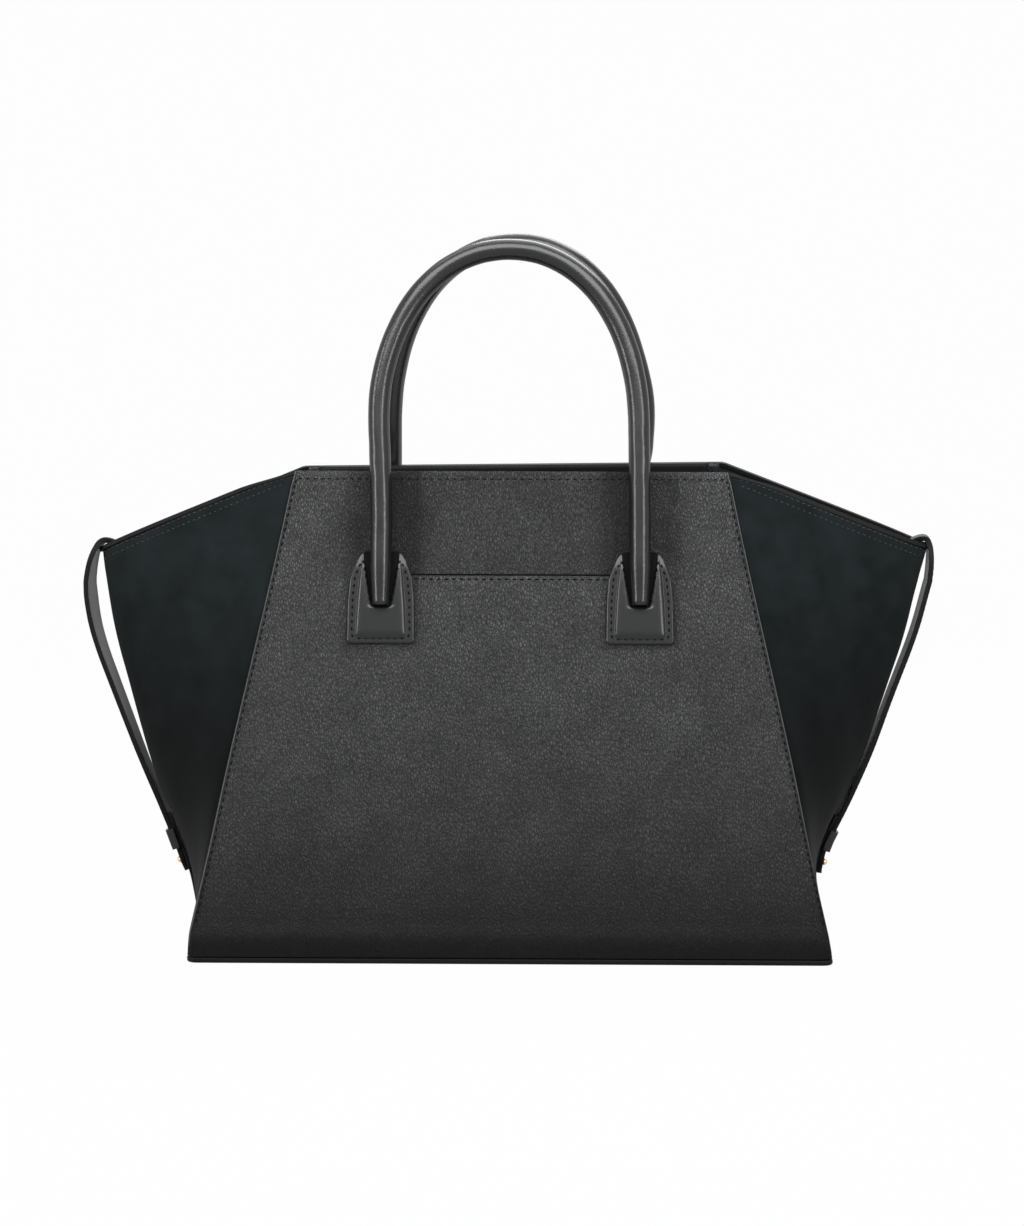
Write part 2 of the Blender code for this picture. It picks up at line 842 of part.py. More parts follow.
def pad_outline():
    """The padding round the foot and both sides of the handle's root."""
    low = tab_bottom_height + pad_bottom_margin
    high = tab_top_height - pad_top_drop
    half = [
        (pad_bottom_half_width, low), (pad_top_half_width, high),
        (pad_notch_half_width, high),
        (pad_notch_foot_half_width, tab_notch_bottom - pad_notch_foot_drop),
    ]
    full = half + [(-x, z) for x, z in reversed(half)]
    return [(x, z / lean_cos) for x, z in full]


def build_tab(name, side, x, parts, cutters, leather):
    base = rounded(tab_outline(), tab_corner_radius)
    place = panel_frame(side, 0.0, gap + tab_thickness / 2, x)
    plate = outline_curve(name, [base], tab_thickness, leather, parts, place)
    plate = curve_to_mesh(plate, parts)
    outline = rounded(pad_outline(), pad_corner_radius)
    place = panel_frame(side, 0.0, gap + tab_thickness, x)
    pad = outline_curve(
        name + "_pad", [outline], pad_rise * 2, leather, cutters, place, pad_bevel)
    pad = curve_to_mesh(pad, cutters)
    combine(plate, pad, "UNION")


# Side straps

def strap_inner(z):
    bow = strap_bow * read_shares(strap_bow_shares, z / wing_tip_height)
    return ridge_half_width(z) + 2 * gap + anchor_thickness + bow


def side_plane(side):
    """A frame whose X runs outwards and whose Y runs up, on the middle plane."""
    turn = Matrix.Rotation(0 if side > 0 else math.pi, 4, "Z")
    return turn @ Matrix.Rotation(math.pi / 2, 4, "X")


def ridge_angle(z):
    rise = panel_roll_height
    return math.atan2(ridge_half_width(z + rise) - ridge_half_width(z - rise), 2 * rise)


def build_strap(word, side, parts, materials):
    leather = materials["strap"]
    path = []
    for step in range(strap_steps):
        z = mix(strap_bottom, strap_arch_height, step / strap_steps)
        path.append((strap_inner(z), z))
    reach = strap_inner(strap_arch_height) - strap_arch_centre
    for step in range(strap_arch_steps + 1):
        angle = math.radians(strap_arch_end_degrees) * step / strap_arch_steps
        x = strap_arch_centre + reach * math.cos(angle)
        z = strap_arch_height + strap_arch_rise * math.sin(angle)
        path.append((x, z))
    frame = side_plane(side)
    outline_curve(
        word + "_strap", [ribbon(path, strap_thickness)], strap_width, leather, parts, frame)
    path = []
    for step in range(strap_steps // 2 + 1):
        z = mix(anchor_bottom, anchor_top, step / (strap_steps // 2))
        path.append((ridge_half_width(z) + gap, z))
    outline_curve(
        word + "_strap_anchor", [ribbon(path, anchor_thickness)], strap_width, leather, parts,
        frame)
    build_keeper(word, side, parts, leather)
    build_stud(word, side, parts, materials["metal"])


def strap_frame(side, z, x):
    """A frame on the strap: X outwards, Y towards the back, Z up along it."""
    turn = Matrix.Rotation(0 if side > 0 else math.pi, 4, "Z")
    return turn @ Matrix.Translation((x, 0, z)) @ Matrix.Rotation(ridge_angle(z), 4, "Y")


def build_keeper(word, side, parts, leather):
    """A stiff band round the outer face and both edges of the strap."""
    inner = strap_thickness + keeper_slack
    outer = inner + keeper_wall
    half_in = strap_width / 2 + gap
    half_out = half_in + keeper_wall
    points = [
        (0, -half_out), (outer, -half_out), (outer, half_out), (0, half_out),
        (0, half_in), (inner, half_in), (inner, -half_in), (0, -half_in),
    ]
    frame = strap_frame(side, keeper_height, strap_inner(keeper_height))
    outline_curve(word + "_strap_keeper", [points], keeper_length, leather, parts, frame)


def build_stud(word, side, parts, metal):
    """A turned dome whose foot stands on the strap's outer face."""
    mesh = bpy.data.meshes.new(word + "_strap_stud")
    verts = [(reach * stud_radius, 0, rise * stud_rise) for reach, rise in stud_profile_shares]
    edges = [(i, i + 1) for i in range(len(verts) - 1)]
    mesh.from_pydata(verts, edges, [])
    obj = bpy.data.objects.new(word + "_strap_stud", mesh)
    mesh.materials.append(metal)
    parts.objects.link(obj)
    screw = obj.modifiers.new("turn", "SCREW")
    screw.steps = stud_steps
    screw.render_steps = stud_steps
    screw.use_merge_vertices = True
    screw.merge_threshold = weld_distance
    seat = strap_thickness / math.cos(ridge_angle(stud_height)) + 2 * gap
    x = strap_inner(stud_height) + seat
    frame = strap_frame(side, stud_height, x)
    obj.matrix_world = frame @ Matrix.Rotation(math.pi / 2, 4, "Y")


def main():
    clear_scene()
    parts = make_collection("top_zip_tote_bag")
    cutters = make_collection("cutters")
    grained = make_material("grained_leather", (0.045, 0.048, 0.048), 0.55)
    smooth = make_material("smooth_leather", (0.018, 0.019, 0.019), 0.38)
    strap = make_material("strap_leather", (0.022, 0.022, 0.022), 0.45)
    suede = make_material("suede", (0.010, 0.014, 0.015), 0.95)
    cloth = make_material("lining_cloth", (0.020, 0.020, 0.021), 0.85)
    board = make_material("base_board", (0.20, 0.15, 0.10), 0.9)
    tape = make_material("zip_tape", (0.015, 0.015, 0.016), 0.9)
    metal = make_material("gold_metal", (0.72, 0.50, 0.25), 0.25, 1.0)
    materials = {"leather": smooth, "tape": tape, "metal": metal, "strap": strap}

    build_base(parts, smooth, board)
    front = build_panel("front_panel", -1, parts, grained)
    cut_yoke_notch(front, cutters)
    build_panel("back_panel", 1, parts, grained)
    build_yoke(parts, grained)
    build_side("left", -1, parts, suede, smooth)
    build_side("right", 1, parts, suede, smooth)
    build_lining(parts, cloth)
    build_inner_pocket(parts, cloth)
    yoke_back = lap_offset + yoke_thickness / lean_cos + gap
    build_facing("front_facing", -1, yoke_back, parts, smooth)
    build_facing("back_facing", 1, lap_offset, parts, smooth)
    for word, side in (("front", -1), ("back", 1)):
        build_closure_half(word, side, parts, materials)
    for word, side in (("left", -1), ("right", 1)):
        build_wing_closure(word, side, parts, materials)
        build_strap(word, side, parts, materials)
    axis_height = build_slider(parts, cutters, metal)
    build_pull(axis_height, parts, metal)
    build_handle("front", -1, front_handle_top, parts, smooth)
    build_handle("back", 1, back_handle_top, parts, smooth)
    for word, side in (("front", -1), ("back", 1)):
        for hand, sign in (("left", -1), ("right", 1)):
            x = sign * handle_half_spacing * -side
            build_tab(word + "_tab_" + hand, side, x, parts, cutters, smooth)


main()
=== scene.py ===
import math

import bmesh
import bpy
from bpy.props import FloatProperty, FloatVectorProperty, PointerProperty
from mathutils import Matrix, Vector, noise


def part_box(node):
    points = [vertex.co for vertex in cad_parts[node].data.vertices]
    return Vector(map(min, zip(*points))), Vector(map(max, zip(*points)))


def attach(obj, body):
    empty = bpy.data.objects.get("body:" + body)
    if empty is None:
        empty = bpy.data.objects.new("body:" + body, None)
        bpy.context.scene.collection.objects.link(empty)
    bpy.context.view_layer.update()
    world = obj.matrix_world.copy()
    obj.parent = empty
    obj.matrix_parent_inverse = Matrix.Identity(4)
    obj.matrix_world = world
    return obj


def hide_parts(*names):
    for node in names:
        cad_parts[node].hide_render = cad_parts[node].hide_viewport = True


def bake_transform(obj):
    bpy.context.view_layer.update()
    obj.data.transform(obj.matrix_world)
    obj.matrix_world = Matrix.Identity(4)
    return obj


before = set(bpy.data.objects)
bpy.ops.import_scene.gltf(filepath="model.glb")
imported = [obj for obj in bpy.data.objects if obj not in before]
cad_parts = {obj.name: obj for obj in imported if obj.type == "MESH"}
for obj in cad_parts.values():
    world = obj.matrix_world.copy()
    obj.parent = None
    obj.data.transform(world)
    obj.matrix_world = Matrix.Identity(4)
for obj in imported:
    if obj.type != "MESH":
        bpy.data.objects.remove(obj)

bl_info = {
    "name": "Top-zip tote bag",
    "version": (1, 0, 0),
    "blender": (4, 5, 0),
    "location": "View3D > Sidebar > Tote bag",
    "description": "Dresses the tote bag's frame with leather, suede, straps, zip and stitching",
    "category": "Object",
}

# Body in metres, with the ridge's course in shares of the wing's height and reach
RIM_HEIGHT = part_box("back_panel")[1].z
FLOOR_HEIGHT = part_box("back_panel")[0].z
RIM_PANEL_HALF_WIDTH = 0.123
BASE_PANEL_HALF_WIDTH = 0.1765
RIM_CORNER_HALF_WIDTH = 0.1235
BASE_CORNER_HALF_WIDTH = 0.179
RIM_HALF_DEPTH = 0.031
BASE_HALF_DEPTH = 0.090
WING_TIP_HALF_WIDTH = 0.239
WING_TIP_HEIGHT = 0.228
PANEL_ROLL_IN = 0.004
PANEL_ROLL_HEIGHT = 0.018
PANEL_THICKNESS = 0.0020
PANEL_CORNER = 0.0032
DEEPEST = {-1: -0.0030, 1: -0.0015}
SUEDE_THICKNESS = 0.0016
GAP = 0.0003
WELD = 0.000001
LOOSE_WELD = 0.00001
TRIM_EDGE = 0.0003
NOTCH_HALF_WIDTH = 0.074
NOTCH_HEIGHT = 0.214
YOKE_HALF_WIDTH = 0.082
YOKE_LOW = 0.196
YOKE_THICKNESS = 0.0013
RIDGE_SHARES = (
    (0.00, 0.00), (0.11, 0.03), (0.20, 0.09), (0.45, 0.425),
    (0.61, 0.61), (0.77, 0.81), (0.95, 0.95), (1.00, 1.00),
)
RIDGE_SOFTNESS = 0.25
KINK_REACH = 0.05
LEAN = math.atan2(BASE_HALF_DEPTH - RIM_HALF_DEPTH, RIM_HEIGHT)
LEAN_COS = math.cos(LEAN)
LAP_OFFSET = PANEL_THICKNESS / LEAN_COS + GAP * 1.2
LAP_REACH = 0.008
LAP_SHARE = 0.08

# Handles and tabs
HANDLE_SPACING = 0.073
HANDLE_RADIUS = 0.0059
HANDLE_TIP_RADIUS = 0.0046
HANDLE_ROOT_LOW = 0.197
HANDLE_ROOT_HIGH = 0.232
HANDLE_SPRING = 0.298
HANDLE_TOPS = {"front": 0.3982, "back": 0.403}
HANDLE_LEAN = 0.18
HANDLE_POWER = 2.1
TAB_LOW = 0.176
TAB_HIGH = 0.2272
TAB_HALF_WIDTH = 0.019

# Straps
STRAP_WIDTH = 0.016
STRAP_THICKNESS = 0.0030
ANCHOR_THICKNESS = 0.0016
ANCHOR_LOW = 0.010
ANCHOR_HIGH = 0.072
STRAP_LOW = 0.038
STRAP_BOW = {-1: 0.0085, 1: 0.0042}
STRAP_TWIST = {-1: 12.0, 1: 0.0}
STRAP_TWIST_SHARES = ((0.0, 0.0), (0.35, 0.0), (0.55, 0.5), (0.88, 1.0), (0.97, 0.3), (1.0, 0.0))
STRAP_ARCH_HEIGHT = 0.208
STRAP_ARCH_RISE = 0.0234
STRAP_ARCH_CENTRE = 0.236
STRAP_ARCH_DEGREES = 140
STRAP_TUCK = 0.015
STRAP_TUCK_WIDTH = 0.0065
STRAP_STITCH_REACH = 0.0062
STRAP_POINT = 0.009
TILT_REACH = 0.018
KEEPER_HEIGHT = 0.058
KEEPER_LENGTH = 0.012
KEEPER_WALL = 0.0014
KEEPER_SLACK = 0.0006
STUD_HEIGHT = 0.044
STUD_RADIUS = 0.0022
STUD_RISE = 0.0026
STRAP_BOW_SHARES = (
    (0.00, 0.00), (0.30, 0.00), (0.45, 0.25), (0.59, 0.48),
    (0.76, 0.92), (0.84, 0.98), (0.912, 0.80), (1.00, 0.50),
)

# Rim and closure
FACING_HEIGHT = 0.028
FACING_HALF_WIDTH = 0.1145
FACING_INNER_OFFSET = 0.0055
CLOSURE_HEIGHT = 0.262
FLAP_THICKNESS = 0.0016
FLAP_HALF_LENGTH = 0.109
FLAP_INNER_EDGE = 0.009
SEAM_CLEARANCE = 0.0005
TAPE_THICKNESS = 0.0008
TAPE_LAP = 0.008
ZIP_CENTRE_GAP = 0.0010
TOOTH_ROW = 0.0030
TOOTH_LENGTH = 0.0016
TOOTH_THICKNESS = 0.0024
TOOTH_PITCH = 0.0030
TOOTH_WIDTH = 0.0016
WING_CLOSURE_START = 0.121
WING_CLOSURE_END = 0.218
WING_CLOSURE_THICKNESS = 0.0014
EAR_START = 0.1101
EAR_END = 0.1216
EAR_INNER = 0.0090
BOARD_THICKNESS = 0.002
BOARD_COLOUR = (0.05, 0.05, 0.05)
LINING_THICKNESS = 0.0008
LINING_EASE = 0.0008
LINING_DROP = 0.026
LINING_CLEARANCE = 0.0015

# How dark and how grained the leather is, by shares of the rim's height. Their darkening toward
# the floor is painted shade, and their lightening toward the rim painted light.
# Painted shade on the grained leather, darker toward the floor, with painted light over 1 near
# the rim
PANEL_PAINTED_SHADE = ((0.0, 0.05), (0.07, 0.13), (0.12, 0.32), (0.24, 0.60), (0.5, 0.90), (0.9, 1.18))
GRAIN_FADE = ((0.035, 0.05), (0.09, 0.9), (1.0, 1.0))
# The cut edge's own dark colour, with a painted highlight along the rim
EDGE_COLOUR_AND_PAINTED_HIGHLIGHT = ((0.0, 0.014), (0.972, 0.016), (0.982, 0.085), (1.0, 0.085))
# Painted shade on the straps' inner side: darker low down, lighter high up
FLESH_PAINTED_SHADE = ((0.0, 0.010), (0.40, 0.014), (0.50, 0.034), (0.85, 0.058))
# Painted shade on the suede, darker toward the floor
SUEDE_PAINTED_SHADE = ((0.0, 0.06), (0.35, 0.16), (0.60, 0.54), (0.80, 0.84))

# Seams
SIDE_STITCH_INSET = 0.0022
RIM_STITCH_DROP = 0.0054
NOTCH_STITCH_DROP = 0.0020

# The standing bag's sway in metres, picked from the photograph's outline. The sway
# tables, WALL_SWAY_LOW and WALL_SWAY_HIGH go by shares of the wing's height, and the slopes
# are ratios.
LEFT_STRAP_SWAY = (
    (0.00, 0.0), (0.12, -0.0020), (0.30, -0.0052), (0.60, -0.0050),
    (0.75, -0.0028), (0.90, -0.0020), (1.00, -0.0004),
)
RIGHT_STRAP_SWAY = (
    (0.00, 0.0), (0.08, -0.0030), (0.20, -0.0115), (0.32, -0.0060), (0.50, -0.0034),
    (0.75, -0.0034), (0.90, -0.0012), (1.00, 0.0022),
)
LEFT_SWAY = (
    (0.00, 0.0), (0.12, -0.0020), (0.27, -0.0066), (0.36, -0.0078), (0.47, -0.0072),
    (0.58, -0.0063), (0.75, -0.0034), (0.90, -0.0020), (1.00, -0.0004),
)
RIGHT_SWAY = (
    (0.00, 0.0), (0.08, -0.0030), (0.20, -0.0105), (0.32, -0.0040), (0.45, -0.0014),
    (0.65, -0.0010), (0.80, -0.0005), (0.90, -0.0002), (1.00, 0.0022),
)
FRONT_SLOPE = -0.003
BACK_SLOPE = 0.010
FRONT_DROP = 0.0026
LEFT_WING_DROP = 0.0007
PANEL_SPREAD = 0.0034
BASE_SPREAD = 0.0016
BASE_SPREAD_HEIGHT = 0.09
SPREAD_FADE = (0.08, 0.26)
WALL_INSIDE = (0.0014, 0.0030)
WALL_SWAY_LOW = (0.29, 0.38)
WALL_SWAY_HIGH = (0.90, 0.97)
FRONT_REACH = 0.02
HANDLE_SWAY = {"front": -0.0016, "back": 0.0018}
HANDLE_SPREAD = 0.0010
BACK_LEG_SHIFT = 0.0022
LEG_SHIFT_LOW = (RIM_HEIGHT - 0.01, RIM_HEIGHT + 0.012)
LEG_SHIFT_HIGH = (0.300, 0.345)

# Photograph's viewing point
CAMERA_PLACE = (0.03752, -1.590, 0.32384)
CAMERA_DOWN_DEGREES = 4.84
CAMERA_TURN_DEGREES = 1.36
CAMERA_LENS_MM = 80.66
CAMERA_SENSOR_MM = 36.0


class ToteSizes(bpy.types.PropertyGroup):
    stitch_pitch: FloatProperty(
        name="Stitch pitch", description="From one stitch to the next along a seam",
        default=0.0042, unit="LENGTH")
    stitch_length: FloatProperty(
        name="Stitch length", description="Thread showing between two needle holes",
        default=0.0028, unit="LENGTH")
    thread_radius: FloatProperty(
        name="Thread radius", description="Half the sewing thread's thickness",
        default=0.00055, unit="LENGTH")
    panel_wave: FloatProperty(
        name="Panel wave", description="How far the leather panels bulge and dip",
        default=0.0012, unit="LENGTH")
    suede_wave: FloatProperty(
        name="Suede wave", description="How far the side walls ripple",
        default=0.0011, unit="LENGTH")
    pad_rise: FloatProperty(
        name="Tab padding", description="How far the handle tabs' padding stands up",
        default=0.0018, unit="LENGTH")


class ToteColours(bpy.types.PropertyGroup):
    grained: FloatVectorProperty(
        name="Grained leather", description="Colour of the front and back panels",
        default=(0.072, 0.0735, 0.074), subtype="COLOR", size=3)
    smooth: FloatVectorProperty(
        name="Smooth leather", description="Colour of the handles, tabs and trim",
        default=(0.008, 0.0085, 0.0085), subtype="COLOR", size=3)
    strap: FloatVectorProperty(
        name="Strap leather", description="Colour of the side straps",
        default=(0.022, 0.023, 0.023), subtype="COLOR", size=3)
    suede: FloatVectorProperty(
        name="Suede", description="Colour of the side walls",
        default=(0.0078, 0.0108, 0.0114), subtype="COLOR", size=3)
    lining: FloatVectorProperty(
        name="Lining", description="Colour of the cloth inside",
        default=(0.030, 0.030, 0.032), subtype="COLOR", size=3)
    thread: FloatVectorProperty(
        name="Thread", description="Colour of the sewing thread",
        default=(0.004, 0.004, 0.004), subtype="COLOR", size=3)
    metal: FloatVectorProperty(
        name="Gold metal", description="Colour of the zip and the strap studs",
        default=(0.72, 0.52, 0.27), subtype="COLOR", size=3)
    floor: FloatVectorProperty(
        name="Floor", description="Colour of the floor and the backdrop",
        default=(0.25, 0.25, 0.25), subtype="COLOR", size=3)


# Body rules

def mix(low, high, share):
    return low + (high - low) * share


def ease(low, high, value):
    """0 below low, 1 above high, and a smooth turn between them."""
    share = min(max((value - low) / (high - low), 0.0), 1.0)
    return share * share * (3 - 2 * share)


def read_shares(table, share):
    for (low, low_value), (high, high_value) in zip(table, table[1:]):
        if share <= high:
            return mix(low_value, high_value, (share - low) / (high - low))
    return table[-1][1]


def smooth_shares(table, share):
    """The table's value with its kinks rounded off."""
    total = 0.0
    for step in (-1.0, -0.5, 0.0, 0.5, 1.0):
        total += read_shares(table, min(max(share + step * KINK_REACH, 0.0), 1.0))
    return total / 5


def half_depth(z):
    straight = mix(BASE_HALF_DEPTH, RIM_HALF_DEPTH, z / RIM_HEIGHT)
    above = z - FLOOR_HEIGHT
    if above >= PANEL_ROLL_HEIGHT:
        return straight
    return straight - PANEL_ROLL_IN * (1 - above / PANEL_ROLL_HEIGHT) ** 2


def panel_half_width(z):
    spread = PANEL_SPREAD * (1 - ease(*SPREAD_FADE, z)) * mix(0.6, 1, ease(0.0, 0.02, z))
    return mix(BASE_PANEL_HALF_WIDTH, RIM_PANEL_HALF_WIDTH, z / RIM_HEIGHT) + spread


def corner_half_width(z):
    return mix(BASE_CORNER_HALF_WIDTH, RIM_CORNER_HALF_WIDTH, z / RIM_HEIGHT)


def ridge_half_width(z):
    share = min(z / WING_TIP_HEIGHT, 1.0)
    spread = WING_TIP_HALF_WIDTH - BASE_CORNER_HALF_WIDTH
    return BASE_CORNER_HALF_WIDTH + spread * smooth_shares(RIDGE_SHARES, share)


def wing_edge_height(x):
    span = WING_TIP_HALF_WIDTH - RIM_CORNER_HALF_WIDTH
    share = (x - RIM_CORNER_HALF_WIDTH) / span
    return mix(RIM_HEIGHT, WING_TIP_HEIGHT, min(max(share, 0.0), 1.0))


def gusset_point(across, z, inset=0.0):
    """A point of the right side wall, across from -1 at the front to 1 at the back."""
    depth = half_depth(z) - LAP_OFFSET
    ridge = ridge_half_width(z)
    corner = corner_half_width(z)
    spread = math.atan2(depth, ridge - corner)
    inner_ridge = ridge - inset / math.sin(spread)
    inner_depth = depth - inset
    inner_corner = ridge - (inset + inner_depth * math.cos(spread)) / math.sin(spread)
    fold = math.hypot(across, RIDGE_SOFTNESS) - RIDGE_SOFTNESS
    fold /= math.hypot(1, RIDGE_SOFTNESS) - RIDGE_SOFTNESS
    return Vector((mix(inner_ridge, inner_corner, fold), across * inner_depth, z))


def wall_point(across, z, inset=0.0):
    """A side wall's point; past 1 its seam allowance goes on behind the panel."""
    point = gusset_point(min(max(across, -1.0), 1.0), z, inset)
    point.x -= LAP_REACH * max(abs(across) - 1, 0) / LAP_SHARE
    return point


def gusset_top(across, inset, drop):
    across = min(max(across, -1.0), 1.0)
    z = mix(WING_TIP_HEIGHT, RIM_HEIGHT, abs(across)) - drop
    for _ in range(12):
        z = wing_edge_height(gusset_point(across, min(z, RIM_HEIGHT), inset).x) - drop
    return z


def panel_frame(side, x, offset):
    """A frame on the leaning panel: X across, Y up the slope, Z outwards."""
    lean = Matrix.Rotation(math.pi / 2 - LEAN, 4, "X")
    outward = Vector((0, -LEAN_COS, math.sin(LEAN)))
    place = Matrix.Translation(Vector((x, -BASE_HALF_DEPTH, 0)) + outward * offset)
    return side_turn(side) @ place @ lean


def half_turn(point, side):
    return Vector((point.x * side, point.y * side, point.z))


def side_turn(side):
    """No turn for the front, half a turn for the back."""
    return Matrix.Rotation(0 if side < 0 else math.pi, 4, "Z")


def run(steps, place):
    """The points that place gives for even shares from 0 to 1."""
    return [place(step / steps) for step in range(steps + 1)]


def path_lengths(points):
    """How far along the line each of its points lies."""
    lengths = [0.0]
    for first, second in zip(points, points[1:]):
        lengths.append(lengths[-1] + (second - first).length)
    return lengths


def signed_power(value, power):
    """The power of the value's size, with the value's sign."""
    return math.copysign(abs(value) ** power, value)


def soft_noise(x, y, scale, seed):
    return noise.noise(Vector((x / scale, y / scale, seed)))


def sway(point):
    """Moves a point of the body the way the standing bag hangs a little askew."""
    corner = corner_half_width(point.z)
    wing = (abs(point.x) - corner) / (ridge_half_width(point.z) - corner + GAP)
    wall, strap = (LEFT_SWAY, LEFT_STRAP_SWAY) if point.x < 0 else (RIGHT_SWAY, RIGHT_STRAP_SWAY)
    share = min(max(point.z / WING_TIP_HEIGHT, 0.0), 1.0)
    inner = 1 - ease(*WALL_INSIDE, abs(point.x) - ridge_half_width(point.z))
    inner *= ease(*WALL_SWAY_LOW, share) * (1 - ease(*WALL_SWAY_HIGH, share))
    across = mix(smooth_shares(strap, share), smooth_shares(wall, share), inner)
    spread = BASE_SPREAD * (1 - ease(0.0, BASE_SPREAD_HEIGHT, point.z))
    front = ease(-FRONT_REACH, FRONT_REACH, -point.y)
    high = ease(0.0, 1.0, point.z / RIM_HEIGHT)
    point.z += mix(BACK_SLOPE, FRONT_SLOPE, front) * point.x * high
    point.z -= FRONT_DROP * front * ease(CLOSURE_HEIGHT, RIM_HEIGHT, point.z)
    if point.x < 0:
        point.z -= LEFT_WING_DROP * high * min(max(wing, 0.0), 1.0)
    point.x += across * min(max(wing, 0.0), 1.0)
    point.x += spread * point.x / BASE_CORNER_HALF_WIDTH


# Makers

def sheet(columns, rows, place, centre):
    """A grid laid out by across (-1 to 1) and along (0 to 1), facing away from the centre."""
    bm = bmesh.new()
    bmesh.ops.create_grid(bm, x_segments=columns, y_segments=rows, size=1)
    for vert in bm.verts:
        vert.co = place(vert.co.x, (vert.co.y + 1) / 2)
    bm.normal_update()
    bm.faces.ensure_lookup_table()
    outwards = 0.0
    for face in list(bm.faces)[::50]:
        outwards += face.normal.dot(face.calc_center_median() - Vector(centre))
    if outwards < 0:
        bmesh.ops.reverse_faces(bm, faces=bm.faces)
    return bm


def bar(bm, low, high, edge=0.0):
    """Adds a box between two corners, with its edges cut off where an edge width is given."""
    made = bmesh.ops.create_cube(bm, size=1)["verts"]
    low, high = Vector(low), Vector(high)
    bmesh.ops.scale(bm, verts=made, vec=high - low)
    bmesh.ops.translate(bm, verts=made, vec=(high + low) / 2)
    if edge:
        edges = list({e for vert in made for e in vert.link_edges})
        bmesh.ops.bevel(bm, geom=edges, affect="EDGES", offset=edge, segments=1,
                        profile=0.5, material=-1)


def new_object(name, bm, materials):
    """Turns the mesh being built into an object of the scene."""
    mesh = bpy.data.meshes.new(name)
    bm.to_mesh(mesh)
    bm.free()
    for material in materials:
        mesh.materials.append(material)
    obj = bpy.data.objects.new(name, mesh)
    bpy.context.scene.collection.objects.link(obj)
    return obj


def piece(name, bm, materials, body, nodes=(), wall=0.0, edge=0.0, rim=0):
    """Makes the finished piece from its mesh and lets it ride on its body."""
    if body == "bag":
        for vert in bm.verts:
            sway(vert.co)
    obj = new_object(name, bm, materials)
    obj.data.shade_smooth()
    if wall:
        shell = obj.modifiers.new("wall", "SOLIDIFY")
        shell.thickness = wall
        shell.offset = -1
        shell.use_even_offset = True
        shell.material_offset_rim = rim
    if edge:
        bevel = obj.modifiers.new("edge", "BEVEL")
        bevel.width = edge
        bevel.segments = 2
        bevel.limit_method = "ANGLE"
        bevel.angle_limit = math.radians(50)
        bevel.material = -1
    if body is not None:
        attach(obj, body)
    if nodes:
        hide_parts(*nodes)
    return obj


def refinish(name, material):
    """Gives one of the frame's own solids its finish."""
    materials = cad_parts[name].data.materials
    materials.clear()
    materials.append(material)


def read_sizes():
    return bpy.context.scene.tote_sizes


def read_colours():
    return bpy.context.scene.tote_colours


# Materials

def new_material(name, colour, roughness, metallic=0.0):
    """A finish by its name, with its nodes only where it is made for the first time."""
    material = bpy.data.materials.get(name + "_finish")
    if material is not None:
        return material, None, None
    material = bpy.data.materials.new(name + "_finish")
    material.use_nodes = True
    shader = material.node_tree.nodes["Principled BSDF"]
    shader.inputs["Base Color"].default_value = (*colour, 1.0)
    shader.inputs["Roughness"].default_value = roughness
    shader.inputs["Metallic"].default_value = metallic
    return material, material.node_tree, shader


def texture(tree, kind, scale, detail=2.0, stretch=(1, 1, 1)):
    coordinates = tree.nodes.new("ShaderNodeTexCoord")
    mapping = tree.nodes.new("ShaderNodeMapping")
    mapping.inputs["Scale"].default_value = stretch
    tree.links.new(coordinates.outputs["Object"], mapping.inputs["Vector"])
    node = tree.nodes.new(kind)
    node.inputs["Scale"].default_value = scale
    if "Detail" in node.inputs:
        node.inputs["Detail"].default_value = detail
    tree.links.new(mapping.outputs["Vector"], node.inputs["Vector"])
    return node


def add_bump(tree, shader, height, strength, distance, before=None):
    bump = tree.nodes.new("ShaderNodeBump")
    bump.inputs["Strength"].default_value = strength
    bump.inputs["Distance"].default_value = distance
    tree.links.new(height, bump.inputs["Height"])
    if before is not None:
        tree.links.new(before, bump.inputs["Normal"])
    tree.links.new(bump.outputs["Normal"], shader.inputs["Normal"])
    return bump.outputs["Normal"]


def add_ramp(tree, value, stops):
    ramp = tree.nodes.new("ShaderNodeValToRGB")
    elements = ramp.color_ramp.elements
    elements[0].position, elements[0].color = stops[0][0], (*stops[0][1], 1)
    elements[1].position, elements[1].color = stops[-1][0], (*stops[-1][1], 1)
    for position, colour in stops[1:-1]:
        elements.new(position).color = (*colour, 1)
    tree.links.new(value, ramp.inputs["Fac"])
    return ramp.outputs["Color"]


def shade(colour, share):
    return tuple(channel * share for channel in colour)


def by_height(tree, stops):
    """A value by the height over the floor, with stops in shares of the rim's height."""
    coordinates = tree.nodes.new("ShaderNodeTexCoord")
    parts = tree.nodes.new("ShaderNodeSeparateXYZ")
    tree.links.new(coordinates.outputs["Object"], parts.inputs[0])
    span = tree.nodes.new("ShaderNodeMapRange")
    span.inputs["From Max"].default_value = RIM_HEIGHT
    tree.links.new(parts.outputs["Z"], span.inputs["Value"])
    return add_ramp(tree, span.outputs["Result"], [(at, (v, v, v)) for at, v in stops])


def multiply(tree, first, second):
    node = tree.nodes.new("ShaderNodeMix")
    node.data_type = "RGBA"
    node.blend_type = "MULTIPLY"
    node.inputs["Factor"].default_value = 1.0
    tree.links.new(first, node.inputs["A"])
    tree.links.new(second, node.inputs["B"])
    return node.outputs["Result"]


def calculate(tree, operation, first, second):
    """A node that works out one value from two; the second may be a plain number."""
    node = tree.nodes.new("ShaderNodeMath")
    node.operation = operation
    tree.links.new(first, node.inputs[0])
    if isinstance(second, float):
        node.inputs[1].default_value = second
    else:
        tree.links.new(second, node.inputs[1])
    return node.outputs[0]


def mix_shaders(tree, share, first, second):
    node = tree.nodes.new("ShaderNodeMixShader")
    tree.links.new(share, node.inputs["Fac"])
    tree.links.new(first, node.inputs[1])
    tree.links.new(second, node.inputs[2])
    return node.outputs["Shader"]


